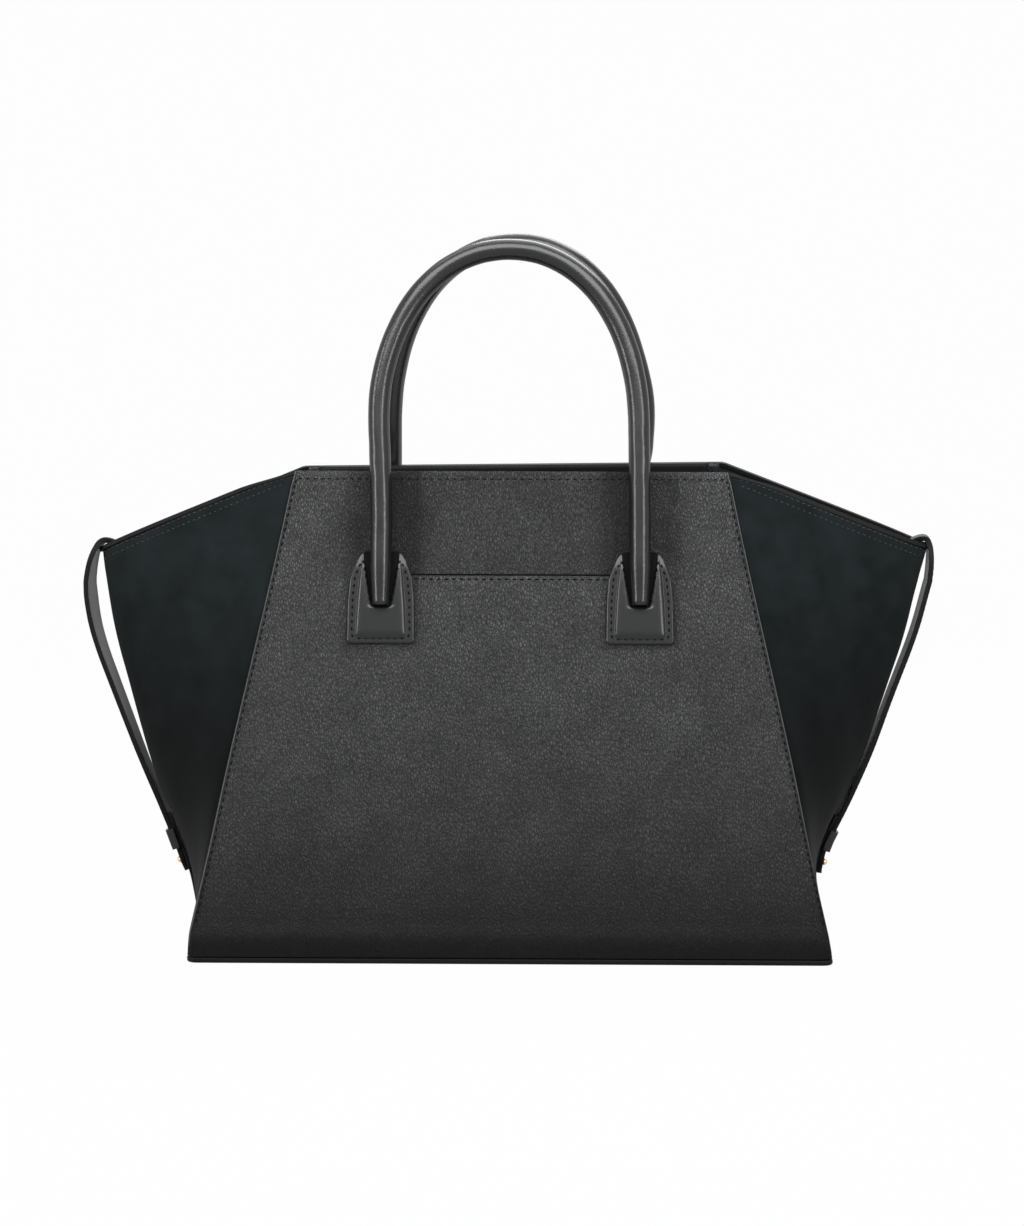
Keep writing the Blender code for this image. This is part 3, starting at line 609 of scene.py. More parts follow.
def pebbled(name, stretch, scale, tone=1.0):
    """Grained leather: raised pebbles parted by creases painted dark as shade, smooth where it
    rolls under, with painted light and shade by height and by place on the panel.
    """
    colour = shade(read_colours().grained, tone)
    material, tree, shader = new_material(name, colour, 0.40)
    if tree is None:
        return material
    shader.inputs["Specular IOR Level"].default_value = 0.12
    pebble = texture(tree, "ShaderNodeTexVoronoi", scale, stretch=stretch)
    pebble.feature = "DISTANCE_TO_EDGE"
    drift = texture(tree, "ShaderNodeTexNoise", scale * 0.8, 3, stretch)
    moved = tree.nodes.new("ShaderNodeVectorMath")
    moved.operation = "MULTIPLY_ADD"
    moved.inputs[1].default_value = (0.0012, 0.0012, 0.0012)
    tree.links.new(drift.outputs["Color"], moved.inputs[0])
    before = pebble.inputs["Vector"].links[0].from_socket
    tree.links.new(before, moved.inputs[2])
    tree.links.new(moved.outputs["Vector"], pebble.inputs["Vector"])
    cells = add_ramp(tree, pebble.outputs["Distance"], [(0.0, (0, 0, 0)), (0.36, (1, 1, 1))])
    # The grain's colour, with its creases darkened as painted shade
    stops = [(0.0, shade(colour, 0.10)), (0.12, shade(colour, 0.66)), (0.46, shade(colour, 2.1))]
    grain_and_crease_shade = add_ramp(tree, pebble.outputs["Distance"], stops)
    patches = texture(tree, "ShaderNodeTexNoise", 42, 3)
    lively = add_ramp(tree, patches.outputs["Fac"], [(0.3, (0.80,) * 3), (0.7, (1.16,) * 3)])
    # Painted light and shade stored on the mesh
    painted_light_and_shade = tree.nodes.new("ShaderNodeAttribute")
    painted_light_and_shade.attribute_name = "painted_light_and_shade"
    grain_and_painted_light = multiply(tree, multiply(tree, grain_and_crease_shade, lively), painted_light_and_shade.outputs["Color"])
    # Painted shade and light by height, multiplied over the grain
    tree.links.new(multiply(tree, grain_and_painted_light, by_height(tree, PANEL_PAINTED_SHADE)),
                   shader.inputs["Base Color"])
    pores = texture(tree, "ShaderNodeTexNoise", 900, 5)
    first = add_bump(tree, shader, pores.outputs["Fac"], 0.5, 0.0005)
    add_bump(tree, shader, cells, 1.0, 0.0011, first)
    relief = shader.inputs["Normal"].links[0].from_node
    tree.links.new(by_height(tree, GRAIN_FADE), relief.inputs["Strength"])
    return material


def grained_leather():
    return pebbled("grained_leather", (1, 1, 0.46), 820)


def creased_leather():
    """The yoke's grain, drawn out into upright creases."""
    return pebbled("creased_leather", (1, 1, 0.36), 900, 0.70)


def fine_finish(name, colour, roughness, relief, shine=None, metallic=0.0):
    """A plain finish with a fine relief: the noise's scale and detail, its strength and depth."""
    material, tree, shader = new_material(name, colour, roughness, metallic)
    if tree is None:
        return material
    if shine is not None:
        shader.inputs["Specular IOR Level"].default_value = shine
    scale, detail, strength, depth = relief
    fine = texture(tree, "ShaderNodeTexNoise", scale, detail)
    add_bump(tree, shader, fine.outputs["Fac"], strength, depth)
    return material


def smooth_leather():
    colour = read_colours().smooth
    return fine_finish("smooth_leather", colour, 0.27, (900, 4, 0.18, 0.0003), 0.31)


def handle_leather():
    """The rolled handles' leather: darker than the tabs, with a sharper shine."""
    colour = shade(read_colours().smooth, 0.75)
    return fine_finish("handle_leather", colour, 0.25, (900, 4, 0.22, 0.0003), 0.37)


def dull_shaded_leather():
    """Smooth leather with little shine, darkened, for the base, bindings, facings and strap
    edges; on the facings, the base and the back panel's top edge its darkness is painted shade.
    """
    colour = shade(read_colours().smooth, 0.6)
    return fine_finish("dull_shaded_leather", colour, 0.5, (800, 4, 0.25, 0.0003), 0.08)


def painted_shadow_leather():
    """A dark leather finish used as painted shadow in each tab's hollow round the tube and at its
    tip.
    """
    colour = shade(read_colours().smooth, 0.3)
    return fine_finish("painted_shadow_leather", colour, 0.7, (800, 4, 0.25, 0.0003), 0.04)


def strap_leather():
    colour = read_colours().strap
    return fine_finish("strap_leather", colour, 0.45, (700, 4, 0.2, 0.0003), 0.12)


def cut_edge():
    """The dark cut edge of the leather, with a painted highlight along the rim."""
    material, tree, shader = new_material("cut_edge", tuple(read_colours().grained), 0.5)
    if tree is None:
        return material
    shader.inputs["Specular IOR Level"].default_value = 0.2
    # Dark edge colour with a painted highlight near the rim's height
    tree.links.new(by_height(tree, EDGE_COLOUR_AND_PAINTED_HIGHLIGHT), shader.inputs["Base Color"])
    return material


def flesh_side():
    """The rough inner side of a leather strap, with painted shade: darker low down and lighter
    high up.
    """
    colour = shade(read_colours().strap, 2.0)
    material, tree, shader = new_material("flesh_side", colour, 0.6)
    if tree is None:
        return material
    # Painted shade by height
    tree.links.new(by_height(tree, FLESH_PAINTED_SHADE), shader.inputs["Base Color"])
    nap = texture(tree, "ShaderNodeTexNoise", 500, 4)
    add_bump(tree, shader, nap.outputs["Fac"], 0.25, 0.0003)
    return material


def suede():
    colour = tuple(read_colours().suede)
    material, tree, shader = new_material("suede", colour, 0.95)
    if tree is None:
        return material
    shader.inputs["Sheen Weight"].default_value = 0.04
    shader.inputs["Sheen Roughness"].default_value = 0.5
    shader.inputs["Specular IOR Level"].default_value = 0.05
    nap = texture(tree, "ShaderNodeTexNoise", 60, 6)
    stops = [(0.3, shade(colour, 0.7)), (0.7, shade(colour, 1.35))]
    mottled = add_ramp(tree, nap.outputs["Fac"], stops)
    # The suede's mottle, with painted shade darker toward the floor
    tree.links.new(multiply(tree, mottled, by_height(tree, SUEDE_PAINTED_SHADE)),
                   shader.inputs["Base Color"])
    fibre = texture(tree, "ShaderNodeTexNoise", 1500, 3)
    add_bump(tree, shader, fibre.outputs["Fac"], 0.25, 0.0004)
    return material


def lining_cloth():
    colour = read_colours().lining
    return fine_finish("lining_cloth", colour, 0.85, (1200, 2, 0.3, 0.0003))


def thread():
    material, tree, shader = new_material("thread", tuple(read_colours().thread), 0.8)
    if tree is not None:
        shader.inputs["Specular IOR Level"].default_value = 0.05
    return material


def fold_leather():
    """Grained leather, darker and smooth, over a fold."""
    colour = shade(read_colours().grained, 0.30)
    return fine_finish("fold_leather", colour, 0.5, (700, 3, 0.4, 0.0004))


def edge_thread():
    """Thread a little paler than the suede, for the rows along the wings' edges."""
    return new_material("edge_thread", shade(read_colours().grained, 0.30), 0.6)[0]


def zip_tape():
    colour = shade(read_colours().lining, 0.6)
    return fine_finish("zip_tape", colour, 0.9, (1400, 2, 0.4, 0.0003))


def gold_metal():
    colour = read_colours().metal
    return fine_finish("gold_metal", colour, 0.30, (900, 2, 0.05, 0.0002), metallic=1.0)


def board():
    """Dark stiff plastic under the lining."""
    return fine_finish("base_board", BOARD_COLOUR, 0.55, (900, 3, 0.12, 0.0003))


# Panels

SHADOW_REACH = 0.008
SHADOW_RISE = 0.012
BROAD_WAVE, FINE_WAVE = 0.075, 0.03
FREE_BASE, FREE_BORDER = 0.05, 0.03
PANEL_BULGE = 0.0028
BULGE_LOW = (0.02, 0.08)
BULGE_HIGH = (0.08, 0.20)
PANEL_EDGE_TURN = 0.0035
PANEL_EDGE_DROP = 0.0011
RIM_TURN = 0.0016
RIM_TURN_DROP = 0.0005
PANEL_SEEDS = {-1: 3.1, 1: 7.7}
DENT_DEPTH = 0.0021
DENT_OFFSET, DENT_WIDTH = 0.017, 0.012
DENT_LOW = (0.212, 0.232)
DENT_HIGH = (0.250, RIM_HEIGHT - 0.001)
INNER_OFFSET, INNER_WIDTH = -0.014, 0.009
# Painted shadows of the handles and tabs, painted shade along the panel's sides and painted light
# under its rim
HANDLE_SHADOW_OFFSET, HANDLE_SHADOW_WIDTH = 0.014, 0.011
HANDLE_SHADOW_LOW = (0.200, 0.226)
HANDLE_SHADOW_HIGH = (0.244, 0.260)
TAB_PAINTED_SHADOW_REACH = 0.006
TAB_PAINTED_SHADOW_DROP = 0.007
SIDE_PAINTED_SHADE = (0.0008, 0.0030)
RIM_PAINTED_HIGHLIGHT = (-0.0018, -0.0010)
RIM_PAINTED_LIGHT = (-0.0045, -0.0035)
YOKE_FREE = (0.062, 0.072)
CREASE_DEPTH = 0.00055
YOKE_HOLLOW = 0.0008


def tab_shadow(x, z):
    """1 on the panel's bare parts, 0 under a handle tab."""
    aside = abs(abs(x) - HANDLE_SPACING)
    beside = ease(TAB_HALF_WIDTH, TAB_HALF_WIDTH + SHADOW_REACH, aside)
    above = ease(TAB_HIGH, TAB_HIGH + SHADOW_RISE, z)
    below = 1 - ease(TAB_LOW - SHADOW_RISE, TAB_LOW, z)
    return max(beside, above, below)


def panel_relief(x, z, side):
    """How far the leather stands out from the flat panel."""
    wave = read_sizes().panel_wave
    seed = PANEL_SEEDS[side]
    broad = soft_noise(x, z, BROAD_WAVE, seed) + 0.4 * soft_noise(x, z, FINE_WAVE, seed + 1)
    turn = panel_half_width(z) - abs(x)
    free = ease(FLOOR_HEIGHT, FREE_BASE, z) * ease(0.0, FREE_BORDER, RIM_HEIGHT - z)
    free *= ease(0.0, FREE_BORDER, turn)
    relief = wave * broad * free * tab_shadow(x, z)
    relief += PANEL_BULGE * free * ease(*BULGE_LOW, z) * (1 - ease(*BULGE_HIGH, z))
    if turn < PANEL_EDGE_TURN:
        relief -= PANEL_EDGE_DROP * (1 - turn / PANEL_EDGE_TURN) ** 2
    top = RIM_HEIGHT - z
    if top < RIM_TURN:
        relief -= RIM_TURN_DROP * (1 - top / RIM_TURN) ** 2
    return relief


def beside_handle(x, offset, width):
    """1 at an offset from a handle's middle, fading out over the width on both sides."""
    share = (abs(x) - HANDLE_SPACING - offset) / width
    return math.exp(-share * share)


def handle_dent(x, z):
    """The leather draws in beside each handle above its tab."""
    high = ease(*DENT_LOW, z) * (1 - ease(*DENT_HIGH, z))
    inside = beside_handle(x, INNER_OFFSET, INNER_WIDTH)
    return DENT_DEPTH * high * (beside_handle(x, DENT_OFFSET, DENT_WIDTH) + 0.6 * inside)


def light_and_shade_share(x, z):
    """The share of its colour the panel keeps under painted light and shade: painted shadows
    beside the handles and round the tabs, painted shade along the side edges, and a painted
    highlight and lighter band under the rim.
    """
    high = ease(*HANDLE_SHADOW_LOW, z) * (1 - 0.7 * ease(*HANDLE_SHADOW_HIGH, z))
    inside = beside_handle(x, INNER_OFFSET, INNER_WIDTH)
    # Painted shadows on both sides of each handle
    dark = 0.62 * high * (beside_handle(x, HANDLE_SHADOW_OFFSET, HANDLE_SHADOW_WIDTH) + 0.8 * inside)
    aside = abs(abs(x) - HANDLE_SPACING) - TAB_HALF_WIDTH
    tab = 1 - ease(0, TAB_PAINTED_SHADOW_REACH, aside)
    # Painted shadow round the tabs
    dark = max(dark, 0.45 * tab * ease(TAB_LOW - TAB_PAINTED_SHADOW_DROP, TAB_LOW, z))
    # Painted shade along the panel's side edges
    side = ease(*SIDE_PAINTED_SHADE, panel_half_width(z) - abs(x))
    under_rim = z - RIM_HEIGHT
    # Painted highlight along the rim and a painted lighter band just under it
    bright = (1 + 0.9 * ease(*RIM_PAINTED_HIGHLIGHT, under_rim)) * (1 + 0.18 * ease(*RIM_PAINTED_LIGHT, under_rim))
    return bright * mix(0.35, 1, side) * (1 - min(dark, 0.75))


def store_light_and_shade(obj):
    """Stores the share of painted light and shade on the leather for its finish."""
    layer = obj.data.attributes.new("painted_light_and_shade", "FLOAT", "POINT")
    for vert in obj.data.vertices:
        layer.data[vert.index].value = light_and_shade_share(vert.co.x, vert.co.z)


def panel_surface(x, z, side, offset=0.0):
    """The outer face of the front (-1) or back (1) panel, out by the offset."""
    relief = max(panel_relief(x, z, side) - handle_dent(x, z), DEEPEST[side])
    y = half_depth(z) + relief + offset / LEAN_COS
    return Vector((x, y * side, z))


def panel_column(across, z):
    """Columns keep to the notch's straight sides and spread out beyond them."""
    share = 0.5
    if abs(across) <= share:
        return across / share * NOTCH_HALF_WIDTH
    beyond = (abs(across) - share) / (1 - share)
    beyond = mix(beyond, 1 - (1 - beyond) ** 2, 0.5)
    return math.copysign(mix(NOTCH_HALF_WIDTH, panel_edge(z), beyond), across)


def panel_edge(z):
    """The panel's half width with its low corner rounded."""
    above = z - FLOOR_HEIGHT
    if above >= PANEL_CORNER:
        return panel_half_width(z)
    round_off = math.sqrt(max(PANEL_CORNER ** 2 - (PANEL_CORNER - above) ** 2, 0))
    return panel_half_width(z) - PANEL_CORNER + round_off


def panel_row(along):
    notch_share = 0.75
    if along <= notch_share:
        share = along / notch_share
        return mix(FLOOR_HEIGHT, NOTCH_HEIGHT, mix(share, share * share, 0.7))
    return mix(NOTCH_HEIGHT, RIM_HEIGHT, (along - notch_share) / (1 - notch_share))


def panel_mesh(side, notch):
    def place(across, along):
        z = panel_row(along)
        return panel_surface(panel_column(across, z), z, side)

    bm = sheet(140, 104, place, (0, 0, RIM_HEIGHT / 2))
    if notch:
        inside = []
        for face in bm.faces:
            middle = face.calc_center_median()
            if middle.z > NOTCH_HEIGHT and abs(middle.x) < NOTCH_HALF_WIDTH:
                inside.append(face)
        bmesh.ops.delete(bm, geom=inside, context="FACES")
    return bm


def yoke_surface(x, z, offset=0.0):
    creases = soft_noise(x * 3.2, z, 0.02, 5.5) + 0.5 * soft_noise(x * 5, z, 0.012, 9.1)
    free = ease(NOTCH_HEIGHT, NOTCH_HEIGHT + 0.012, z) * ease(0.0, 0.01, RIM_HEIGHT - z)
    free *= 1 - ease(*YOKE_FREE, abs(x))
    y = half_depth(z) - LAP_OFFSET + (CREASE_DEPTH * creases - YOKE_HOLLOW) * free
    return Vector((x, -(y + offset / LEAN_COS), z))


class TOTE_OT_panels(bpy.types.Operator):
    """Front and back leather panels and the yoke behind the front notch"""
    bl_idname = "tote.panels"
    bl_label = "Panels"

    def execute(self, context):
        leather = [grained_leather(), cut_edge()]
        store_light_and_shade(piece("front_panel_leather", panel_mesh(-1, True), leather, "bag",
                     ["front_panel"], PANEL_THICKNESS, rim=1))
        # The back panel's cut edge takes the darkened leather as painted shade
        leather = [grained_leather(), dull_shaded_leather()]
        store_light_and_shade(piece("back_panel_leather", panel_mesh(1, False), leather, "bag",
                     ["back_panel"], PANEL_THICKNESS, rim=1))

        def place(across, along):
            return yoke_surface(across * YOKE_HALF_WIDTH, mix(YOKE_LOW, RIM_HEIGHT, along))

        bm = sheet(120, 50, place, (0, 0, RIM_HEIGHT / 2))
        leather = [creased_leather(), cut_edge()]
        store_light_and_shade(piece("front_yoke_leather", bm, leather, "bag", ["front_yoke"],
                     YOKE_THICKNESS, rim=1))
        return {"FINISHED"}


# Side walls

WALL_FOOT = 0.0004
WALL_TOP_DROP = 0.0023
BINDING_DEPTH = 0.0026
BINDING_SINK = -0.0006
BINDING_THICKNESS = 0.0030
BINDING_EDGE = 0.0010


def suede_surface(across, z, side, offset=0.0):
    """The side wall with soft upright ripples, out by the offset."""
    point = wall_point(across, z)
    here = min(max(across, -1.0), 1.0)
    ahead = gusset_point(min(here + 0.02, 1), z) - gusset_point(max(here - 0.02, -1), z)
    outward = Vector((ahead.y, -ahead.x, 0)).normalized()
    free = ease(0.0, 0.10, 1 - abs(across)) * ease(FLOOR_HEIGHT, 0.03, z)
    wave = read_sizes().suede_wave * soft_noise(across * 0.11, z * 0.4, 0.03, 2.2 + side)
    return half_turn(point + outward * (wave * free + offset), side)


def wall_mesh(side):
    def place(across, along):
        across *= 1 + LAP_SHARE
        z = mix(FLOOR_HEIGHT + WALL_FOOT, gusset_top(across, 0.0, WALL_TOP_DROP), along)
        return suede_surface(across, z, side)

    return sheet(70, 96, place, (0, 0, 0.15))


class TOTE_OT_side_walls(bpy.types.Operator):
    """Suede side walls folded out into wings, with bound top edges"""
    bl_idname = "tote.side_walls"
    bl_label = "Side walls"

    def execute(self, context):
        for word, side in (("left", -1), ("right", 1)):
            piece(word + "_wall_suede", wall_mesh(side), [suede()], "bag",
                  [word + "_gusset"], SUEDE_THICKNESS)

            def place(across, along):
                across *= 1 + LAP_SHARE / 3
                top = gusset_top(across, 0.0, 0.0)
                z = mix(top - BINDING_DEPTH, top, along)
                return half_turn(wall_point(across, z, BINDING_SINK), side)

            bm = sheet(64, 4, place, (0, 0, 0.15))
            piece(word + "_wing_edge", bm, [dull_shaded_leather()], "bag",
                  [word + "_wing_binding"], BINDING_THICKNESS, BINDING_EDGE)
        return {"FINISHED"}


# Bottom

BASE_CORNER = 0.006
BASE_EDGE = 0.0012


def slab(half_x, half_y, radius, low, high, edge):
    """A flat slab with rounded corners and softened edges."""
    bm = bmesh.new()
    bar(bm, (-half_x, -half_y, low), (half_x, half_y, high))
    upright = [e for e in bm.edges if abs(e.verts[0].co.z - e.verts[1].co.z) > (high - low) / 2]
    bmesh.ops.bevel(bm, geom=upright, affect="EDGES", offset=radius, segments=6,
                    profile=0.5, material=-1)
    rims = [e for e in bm.edges if abs(e.verts[0].co.z - e.verts[1].co.z) < edge / 10]
    bmesh.ops.bevel(bm, geom=rims, affect="EDGES", offset=edge, segments=3,
                    profile=0.5, material=-1)
    return bm


class TOTE_OT_base(bpy.types.Operator):
    """Leather base panel under the bag and its stiffening board"""
    bl_idname = "tote.base"
    bl_label = "Base"

    def execute(self, context):
        low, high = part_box("base_panel")
        bm = slab(high.x, high.y - BASE_EDGE, BASE_CORNER, low.z, high.z, BASE_EDGE)
        # The base takes the darkened leather as painted shade
        piece("base_leather", bm, [dull_shaded_leather()], "bag", ["base_panel"])
        refinish("base_board", board())
        return {"FINISHED"}


# Handles

SEAM_RISE = 0.00038
SEAM_ANGLE = 0.13
GROOVE_DEPTH = 0.00012
GROOVE_OFFSET, GROOVE_ANGLE = 0.42, 0.10
HANDLE_UNEVEN = 0.00016
HANDLE_FREE = (0.06, 0.12)
HANDLE_OFF = (RIM_HEIGHT - 0.03, RIM_HEIGHT + 0.05)


def root_centre(x, height, radius):
    """The front tube's centre where it lies on the panel at one height."""
    return panel_frame(-1, x, GAP + radius) @ Vector((0, height / LEAN_COS, 0))


def handle_line(word):
    """Centre points and radii of the front-facing tube, from root tip to root tip."""
    seat = root_centre(0, HANDLE_ROOT_HIGH, HANDLE_RADIUS)
    leg = []
    for step in range(15):
        share = step / 15
        height = mix(HANDLE_ROOT_LOW, HANDLE_ROOT_HIGH, share)
        radius = mix(HANDLE_TIP_RADIUS, HANDLE_RADIUS, ease(0.0, 0.7, share))
        leg.append((root_centre(-HANDLE_SPACING, height, radius), radius))
    for step in range(24):
        z = mix(seat.z, HANDLE_SPRING, step / 24)
        y = seat.y + (z - seat.z) * HANDLE_LEAN
        leg.append((Vector((-HANDLE_SPACING, y, z)), HANDLE_RADIUS))
    arch = []
    power = 2 / HANDLE_POWER
    count = 72
    for step in range(count + 1):
        angle = math.pi * (1 - step / count)
        reach = signed_power(math.cos(angle), power)
        z = mix(HANDLE_SPRING, HANDLE_TOPS[word], abs(math.sin(angle)) ** power)
        y = seat.y + (z - seat.z) * HANDLE_LEAN
        arch.append((Vector((HANDLE_SPACING * reach, y, z)), HANDLE_RADIUS))
    back = [(Vector((-p.x, p.y, p.z)), radius) for p, radius in reversed(leg)]
    return leg + arch + back


def handle_mesh(word, side):
    line = handle_line(word)
    facing = Vector((0, -1, HANDLE_LEAN)).normalized()
    rows = len(line) - 1

    def place(across, along):
        index = min(int(round(along * rows)), rows)
        centre, radius = line[index]
        ahead = line[min(index + 1, rows)][0] - line[max(index - 1, 0)][0]
        inner = ahead.normalized().cross(facing).normalized()
        angle = math.pi * across
        from_seam = abs(angle - math.pi / 2)
        seam = math.exp(-(from_seam / SEAM_ANGLE) ** 2)
        groove = math.exp(-((from_seam - GROOVE_OFFSET) / GROOVE_ANGLE) ** 2)
        free = ease(*HANDLE_FREE, min(along, 1 - along))
        uneven = soft_noise(index * 0.004, math.sin(angle) * 0.02, 0.012, 4.0)
        radius += free * (SEAM_RISE * seam - GROOVE_DEPTH * groove + HANDLE_UNEVEN * uneven)
        point = centre + facing * radius * math.cos(angle) + inner * radius * math.sin(angle)
        point = half_turn(point, -side)
        off = ease(*HANDLE_OFF, point.z)
        spread = HANDLE_SPREAD * min(max(point.x / HANDLE_SPACING, -1.0), 1.0)
        point.x += off * (HANDLE_SWAY[word] + spread)
        if word == "back" and point.x > 0:
            low = ease(*LEG_SHIFT_LOW, point.z)
            point.x += BACK_LEG_SHIFT * low * (1 - ease(*LEG_SHIFT_HIGH, point.z))
        return point

    bm = sheet(32, rows, place, (0, 0, 0))
    bmesh.ops.remove_doubles(bm, verts=bm.verts, dist=WELD)
    ends = [edge for edge in bm.edges if edge.is_boundary]
    bmesh.ops.holes_fill(bm, edges=ends, sides=0)
    bmesh.ops.recalc_face_normals(bm, faces=bm.faces)
    return bm


class TOTE_OT_handles(bpy.types.Operator):
    """Rolled leather handles whose ends are sewn to the tabs"""
    bl_idname = "tote.handles"
    bl_label = "Handles"

    def execute(self, context):
        for word, side in (("front", -1), ("back", 1)):
            nodes = [word + "_handle"]
            nodes += [word + "_handle_root_left", word + "_handle_root_right"]
            obj = piece(word + "_handle_leather", handle_mesh(word, side), [handle_leather()],
                        None, nodes)
            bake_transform(obj)
        return {"FINISHED"}


# Tabs

TAB_WIDTHS = (
    (0.1760, 0.0191), (0.2004, 0.0187), (0.2120, 0.0176), (0.2180, 0.0155),
    (0.2224, 0.0136), (0.2255, 0.0113), (0.2272, 0.0088),
)
PAD_WIDTHS = (
    (0.1785, 0.0145), (0.1990, 0.0134), (0.2110, 0.0124), (0.2240, 0.0108), (0.2320, 0.0100),
)
TAB_CORNER = 0.0026
TAB_PLATE = 0.0014
PAD_LOW = 0.1788
PAD_CORNER = 0.0034
PAD_FLANK = 0.0044
TAB_FADE = 0.010
TAB_THIN = 0.0003
TAB_SPIKE = 0.2256
VEE_LOW = 0.1965
VEE_HIGH = 0.2200
VEE_LOW_WIDTH = 0.0052
VEE_HIGH_WIDTH = 0.0096
VEE_REACH = 1.15
VEE_ROW_OUT = 0.0004
VEE_ROW_ENDS = (VEE_HIGH + 0.003, VEE_LOW + 0.0022)
HOLLOW_TURN = 0.001
TAB_EDGE_DROP = 0.0005
TAB_EDGE_REACH = 0.0009
TAB_ROW_SPREAD = 1.15
TAB_STITCH_INSET = 0.0027
TAB_STITCH_TURN = 0.0032
TAB_STITCH_DROP = 0.006


def tab_width(z):
    width = read_shares(TAB_WIDTHS, max(z, TAB_WIDTHS[0][0]))
    above = z - TAB_LOW
    if above < TAB_CORNER:
        width -= TAB_CORNER - math.sqrt(max(TAB_CORNER ** 2 - (TAB_CORNER - above) ** 2, 0))
    return width


def vee_width(z):
    share = (z - VEE_LOW) / (VEE_HIGH - VEE_LOW)
    return mix(VEE_LOW_WIDTH, VEE_HIGH_WIDTH, min(max(share, 0), VEE_REACH))


def dome(reach):
    """The padding's rounded flank: 0 outside, 1 once the reach passes its width."""
    share = min(max(reach / PAD_FLANK, 0.0), 1.0)
    return math.sqrt(1 - (1 - share) ** 2)


def tab_height(x, z):
    """The tab's face above the panel: plate, padding, and the hollow round the tube."""
    x = abs(x)
    width = tab_width(z)
    edge = min(width - x, z - TAB_LOW)
    fade = ease(0.0, TAB_FADE, TAB_HIGH - z)
    height = mix(TAB_THIN, TAB_PLATE, fade)
    height -= TAB_EDGE_DROP * fade * (1 - ease(0.0, TAB_EDGE_REACH, edge))
    pad = read_shares(PAD_WIDTHS, max(z, PAD_WIDTHS[0][0]))
    corner = max(PAD_LOW + PAD_CORNER - z, 0)
    if corner > 0:
        pad -= PAD_CORNER - math.sqrt(max(PAD_CORNER ** 2 - min(corner, PAD_CORNER) ** 2, 0))
    inside = dome(pad - x) * dome(z - PAD_LOW)
    hollow = ease(VEE_LOW - HOLLOW_TURN, VEE_LOW + HOLLOW_TURN, z)
    beside = dome(x - vee_width(z) + VEE_ROW_OUT)
    inside *= mix(1, 0.12 + 0.88 * beside, hollow)
    return height + read_sizes().pad_rise * inside * (0.2 + 0.8 * fade)


def tab_mesh(side, x):
    def place(across, along):
        z = mix(TAB_LOW, TAB_HIGH, along ** TAB_ROW_SPREAD)
        local = (across + 1) / 2 * tab_width(z)
        return Vector((local, z / LEAN_COS, tab_height(local, z)))

    bm = sheet(56, 84, place, (0, 0.2, -1))
    for face in bm.faces:
        middle = face.calc_center_median()
        z = middle.y * LEAN_COS
        # Faces in the hollow beside the tube and above the tips take the dark finish, as painted
        # shadow
        if (z > VEE_LOW and middle.x < vee_width(z)) or z > TAB_SPIKE:
            face.material_index = 1
    geom = bm.verts[:] + bm.edges[:] + bm.faces[:]
    bmesh.ops.mirror(bm, geom=geom, axis="X", merge_dist=LOOSE_WELD)
    bmesh.ops.recalc_face_normals(bm, faces=bm.faces)
    made = bmesh.ops.extrude_face_region(bm, geom=bm.faces[:])
    top = set(item for item in made["geom"] if isinstance(item, bmesh.types.BMVert))
    for vert in bm.verts:
        if vert not in top:
            vert.co.z = 0
    bmesh.ops.recalc_face_normals(bm, faces=bm.faces)
    bmesh.ops.transform(bm, matrix=panel_frame(side, x, GAP), verts=bm.verts)
    return bm


class TOTE_OT_tabs(bpy.types.Operator):
    """Padded leather tabs that carry the handles' ends"""
    bl_idname = "tote.tabs"
    bl_label = "Handle tabs"

    def execute(self, context):
        for word, side in (("front", -1), ("back", 1)):
            for hand, sign in (("left", -1), ("right", 1)):
                name = word + "_tab_" + hand
                x = sign * HANDLE_SPACING
                bm = tab_mesh(side, x)
                piece(name + "_leather", bm, [smooth_leather(), painted_shadow_leather()],
                      "bag", [name])
        return {"FINISHED"}


# Straps

STRAP_CROWN = 0.00035
STRAP_EDGE = 0.0005
TUCK_TAPER = (-0.030, -0.008)
KEEPER_SQUARENESS = 0.32
KEEPER_BEHIND = 0.0009


def strap_inner(z, side):
    bow = STRAP_BOW[side] * smooth_shares(STRAP_BOW_SHARES, z / WING_TIP_HEIGHT)
    return ridge_half_width(z) + 2 * GAP + ANCHOR_THICKNESS + bow


def strap_line(side):
    """Inner face of the strap in x and z, from its end up over the arch."""
    line = []
    for step in range(60):
        z = mix(STRAP_LOW, STRAP_ARCH_HEIGHT, step / 60)
        line.append(Vector((strap_inner(z, side), 0, z)))
    reach = strap_inner(STRAP_ARCH_HEIGHT, side) - STRAP_ARCH_CENTRE
    for step in range(37):
        angle = math.radians(STRAP_ARCH_DEGREES) * step / 36
        side_reach = reach if angle < math.pi / 2 else STRAP_TUCK
        x = STRAP_ARCH_CENTRE + side_reach * math.cos(angle)
        line.append(Vector((x, 0, STRAP_ARCH_HEIGHT + STRAP_ARCH_RISE * math.sin(angle))))
    return line


